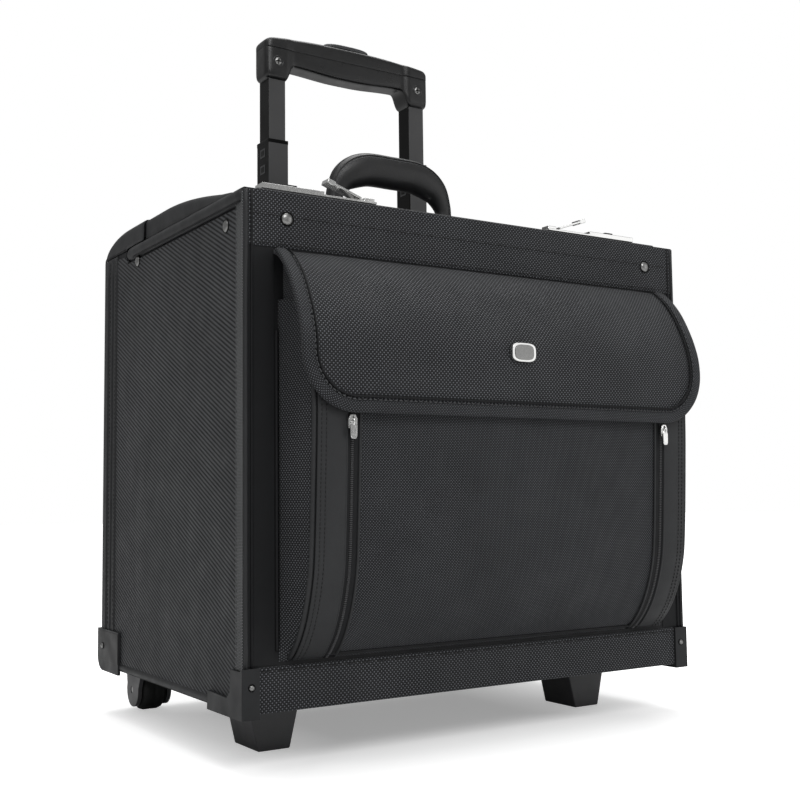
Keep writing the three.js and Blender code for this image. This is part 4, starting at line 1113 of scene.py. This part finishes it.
def build_tubes():
    for side, _ in SIDES:
        for stage, bevel in (("outer", 1.5 * MM), ("middle", 1.5 * MM), ("inner", 1.2 * MM)):
            mesh = refined(f"trolley_{stage}_tube_{side}", TUBE, bevel, 3, 60).data
            mesh.materials.append(TUBE_EDGE)
            for face in mesh.polygons:
                face.material_index = 1 if abs(face.normal.x) > 0.5 else 0
        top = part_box(f"trolley_collar_{side}")[1].z
        low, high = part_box(f"trolley_middle_tube_{side}")
        bore = grown(*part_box(f"trolley_inner_tube_{side}"), 0.35 * MM)
        name = f"collar_cap_{side}"
        mesh = sleeve_mesh(name, grown(low, high, 0.25 * MM), bore, top - 4.2 * MM, top)
        cap = place(name, mesh, TUBE_EDGE, "trolley_lower", replaced=[f"trolley_collar_{side}"])
        add_modifier(cap, "BEVEL", width=0.8 * MM, segments=3, limit_method="ANGLE")
        add_modifier(cap, "WEIGHTED_NORMAL", keep_sharp=True)
        y = (low.y + high.y) / 2
        # Two detents on each lower tube: a grey frame round a dark plate standing for the hole, which is painted shade
        # in the hole.
        for k, z in enumerate((top - 13 * MM, top - 30 * MM)):
            for part, deep, tall, lift, look in (("frame", 5.4 * MM, 4.4 * MM, 0.35 * MM, BUTTON),
                                                 ("hole", 3.6 * MM, 2.8 * MM, 0.5 * MM, BLACK_METAL_AND_HOLE_SHADE)):
                slab(f"detent_{part}_{side}_{k}", rectangle(y - deep, y + deep, z - tall, z + tall), 0, low.x - lift,
                     low.x + 0.4 * MM, 0.15 * MM, look, "trolley_lower", slot="dark_metal")
    refined("trolley_bezel", PLASTIC, 1.2 * MM)
    refined("trolley_base_bracket", PLASTIC, 1.5 * MM)


# ---- hardware -----------------------------------------------------------------------------
def build_hardware():
    head = [(0, 0.9 * MM), (1.2 * MM, 0.8 * MM), (2.0 * MM, 0)]
    for side, sign in SIDES:
        for part, look, bevel in (("lock_body", CHROME, 0.8), ("hasp", CHROME, 0.5), ("lock_strike", CHROME, 0.6),
                                  ("lock_button", BLACK_METAL_AND_HOLE_SHADE, 0.5)):
            refined(f"{part}_{side}", look, bevel * MM)
        low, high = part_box(f"lock_body_{side}")
        near, far = (high.x, low.x) if sign < 0 else (low.x, high.x)
        for k, (x, z) in enumerate(((near + sign * 3.2 * MM, low.z + 3.6 * MM), (far - sign * 4 * MM, high.z))):
            lathe(f"lock_pin_{side}_{k}", head, (x, (low.y + high.y) / 2, z), Z, SATIN, steps=20, slot="bright_metal")


def build_guards():
    for side, sign in SIDES:
        for end in ("front", "rear"):
            refined(f"corner_guard_{end}_{side}", GUARD, 0.8 * MM)
        y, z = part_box(f"corner_guard_front_{side}")[0].y, BOTTOM + 21 * MM
        rivet(f"guard_rivet_front_{side}", (sign * (HALF - 5.5 * MM), y, z), -Y, 2.4 * MM)
        low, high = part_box(f"corner_guard_rear_{side}")
        face = HALF + 2.8 * MM
        # A thin darker plate over the rear guard's recess: painted shade in the recess.
        plate = rectangle(low.y + 0.6 * MM, high.y - 6 * MM, low.z + 10 * MM, high.z - 1.5 * MM)
        slab(f"guard_painted_recess_shade_{side}", plate, 0, *lateral(sign, face - 0.4 * MM, face + 0.35 * MM), 0.3 * MM, GUARD_RECESS_SHADE)
        rivet(f"guard_rivet_rear_{side}", (sign * (face + 0.3 * MM), high.y - 16 * MM, z), X * sign, 2.8 * MM)


def both_ends(half):
    """A lathe profile from half of it, which runs up to the middle."""
    return half + [(r, -a) for r, a in reversed(half) if a]


def build_feet_and_wheels():
    for side, sign in SIDES:
        refined(f"foot_{side}", FOOT_PLASTIC, 4 * MM, 5, 35)
        refined(f"wheel_housing_{side}", FOOT_PLASTIC, 1.0 * MM)
        refined(f"wheel_axle_{side}", SATIN, 0.5 * MM)
        low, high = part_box(f"wheel_tyre_{side}")
        centre, wheel = (low + high) / 2, f"wheel_{side}"
        radius, wide, bore = (high.z - low.z) / 2, (high.x - low.x) / 2, 12.4 * MM
        tread = [(bore, -wide + 1 * MM), (bore + 1 * MM, -wide), (radius - 4 * MM, -wide),
                 (radius - 1.2 * MM, -wide + 2.2 * MM), (radius, -wide + 5.5 * MM), (radius, -1.2 * MM),
                 (radius - 0.8 * MM, 0)]
        lathe(f"tyre_{side}", both_ends(tread), centre, X, RUBBER, wheel, 56, True, replaced=[f"wheel_tyre_{side}"])
        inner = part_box(f"wheel_axle_{side}")[1].z - centre.z + 0.3 * MM
        hub = [(inner, -wide + 0.5 * MM), (inner + 2.2 * MM, -wide + 0.5 * MM), (inner + 3 * MM, -wide + 3 * MM),
               (9.2 * MM, -wide + 3.4 * MM), (10 * MM, -wide + 0.6 * MM), (12.1 * MM, -wide + 0.6 * MM)]
        lathe(f"hub_{side}", both_ends(hub), centre, X, PLASTIC, wheel, 40, True, replaced=[f"wheel_hub_{side}"])
        for k in range(5):
            for end, face in (("in", -1), ("out", 1)):
                name = f"spoke_{side}_{k}_{end}"
                blade = slab_mesh(name, rectangle(-1.2 * MM, 1.2 * MM, 5 * MM, 10 * MM), 0,
                                  *lateral(face, wide - 3.4 * MM, wide - 1.6 * MM), 0.3 * MM)
                blade.transform(Matrix.Translation(centre) @ Matrix.Rotation(2 * math.pi * k / 5, 4, "X"))
                place(name, blade, FOOT_PLASTIC, wheel)


# ---- stage --------------------------------------------------------------------------------
ROOM_LIGHT = 0.34
# Glow of the floor under and round the case, as the camera sees it: painted shade, below the painted light of the
# brighter glow further out.
FLOOR_PAINTED_GLOW_NEAR_CASE = 0.3
LIGHT_TARGET = Vector((0, 0, 0.3))
# Area lights: name, place, size and watts.
LIGHTS = (
    ("key", (-0.5, -2.3, 2.2), 1.2, 30),
    ("side", (-1.6, -0.5, 2.3), 1.0, 6),
    ("fill", (1.9, -1.9, 0.9), 1.4, 6),
    ("top", (0.3, 0.4, 3.2), 2.2, 55),
)
CAMERA_PLACE = (-0.60129, -0.94106, 0.20608)
CAMERA_AZIMUTH, CAMERA_PITCH, CAMERA_ROLL = (math.radians(a) for a in (32.598, 4.789, -0.643))
CAMERA_LENS = 51.956


def stand(name, data):
    made = bpy.data.objects.new(name, data)
    bpy.context.scene.collection.objects.link(made)
    return made


def build_stage():
    """A pale floor and a soft studio: to the camera the room is white, and dimmer as a light source. To the camera the
    floor also glows, which is painted light: the glow is dimmest under and round the case, a painted shade, and rises
    to white further out.
    """
    floor_mesh = mesh_of("floor", [(-9, -9, 0), (9, -9, 0), (9, 9, 0), (-9, 9, 0)], [[0, 1, 2, 3]])
    pale = Graph("pale_floor_painted_glow", (0.9, 0.9, 0.9), 0.85, Emission_Color=(1, 1, 1, 1))
    spot = pale.node("ShaderNodeSeparateXYZ", [pale.body])
    beside = pale.math("SUBTRACT", pale.math("ABSOLUTE", spot.outputs[0]), HALF)
    before = pale.math("SUBTRACT", pale.math("ABSOLUTE", spot.outputs[1]), REAR)
    away = pale.math("MAXIMUM", beside, before)
    # Painted light: the floor glows to the camera, dimmer under and round the case (painted shade) and white further
    # away.
    glow = pale.node("ShaderNodeMapRange", [away, -0.13, 0.28, FLOOR_PAINTED_GLOW_NEAR_CASE, 1.0]).outputs[0]
    seen = pale.node("ShaderNodeLightPath").outputs["Is Camera Ray"]
    pale.feed("Emission Strength", pale.math("MULTIPLY", seen, glow))
    floor_mesh.materials.append(pale.material)
    stand("floor", floor_mesh)
    world = bpy.data.worlds.new("studio")
    world.use_nodes = True
    sky = world.node_tree
    level = sky.nodes.new("ShaderNodeMapRange")
    level.inputs["To Min"].default_value = ROOM_LIGHT
    level.inputs["To Max"].default_value = 1.0
    sky.links.new(sky.nodes.new("ShaderNodeLightPath").outputs["Is Camera Ray"], level.inputs["Value"])
    sky.nodes["Background"].inputs["Color"].default_value = (1, 1, 1, 1)
    sky.links.new(level.outputs["Result"], sky.nodes["Background"].inputs["Strength"])
    bpy.context.scene.world = world
    bpy.context.scene.view_settings.view_transform = "Standard"
    for name, spot, size, energy in LIGHTS:
        data = bpy.data.lights.new(name, "AREA")
        data.size = size
        data.energy = energy
        lamp = stand(name, data)
        lamp.location = spot
        lamp.rotation_euler = (LIGHT_TARGET - Vector(spot)).to_track_quat("-Z", "Y").to_euler()


def build_camera():
    """A camera that looks along its azimuth and pitch and is then rolled about that line."""
    azimuth, pitch, roll = CAMERA_AZIMUTH, CAMERA_PITCH, CAMERA_ROLL
    forward = Vector((math.sin(azimuth) * math.cos(pitch), math.cos(azimuth) * math.cos(pitch), math.sin(pitch)))
    right = Vector((math.cos(azimuth), -math.sin(azimuth), 0))
    up = right.cross(forward)
    across = right * math.cos(roll) + up * math.sin(roll)
    above = up * math.cos(roll) - right * math.sin(roll)
    data = bpy.data.cameras.new("camera")
    data.lens = CAMERA_LENS
    data.sensor_width = 36
    data.clip_end = 50
    camera = stand("camera", data)
    turn = Matrix((across, above, -forward)).transposed().to_4x4()
    camera.matrix_world = Matrix.Translation(CAMERA_PLACE) @ turn
    bpy.context.scene.camera = camera


build_camera()
build_front()
build_sides()
build_base()
build_lid()
build_deck()
build_pocket()
build_zip_pulls()
build_flap()
build_handle()
build_grip()
build_tubes()
build_hardware()
build_guards()
build_feet_and_wheels()
build_stage()
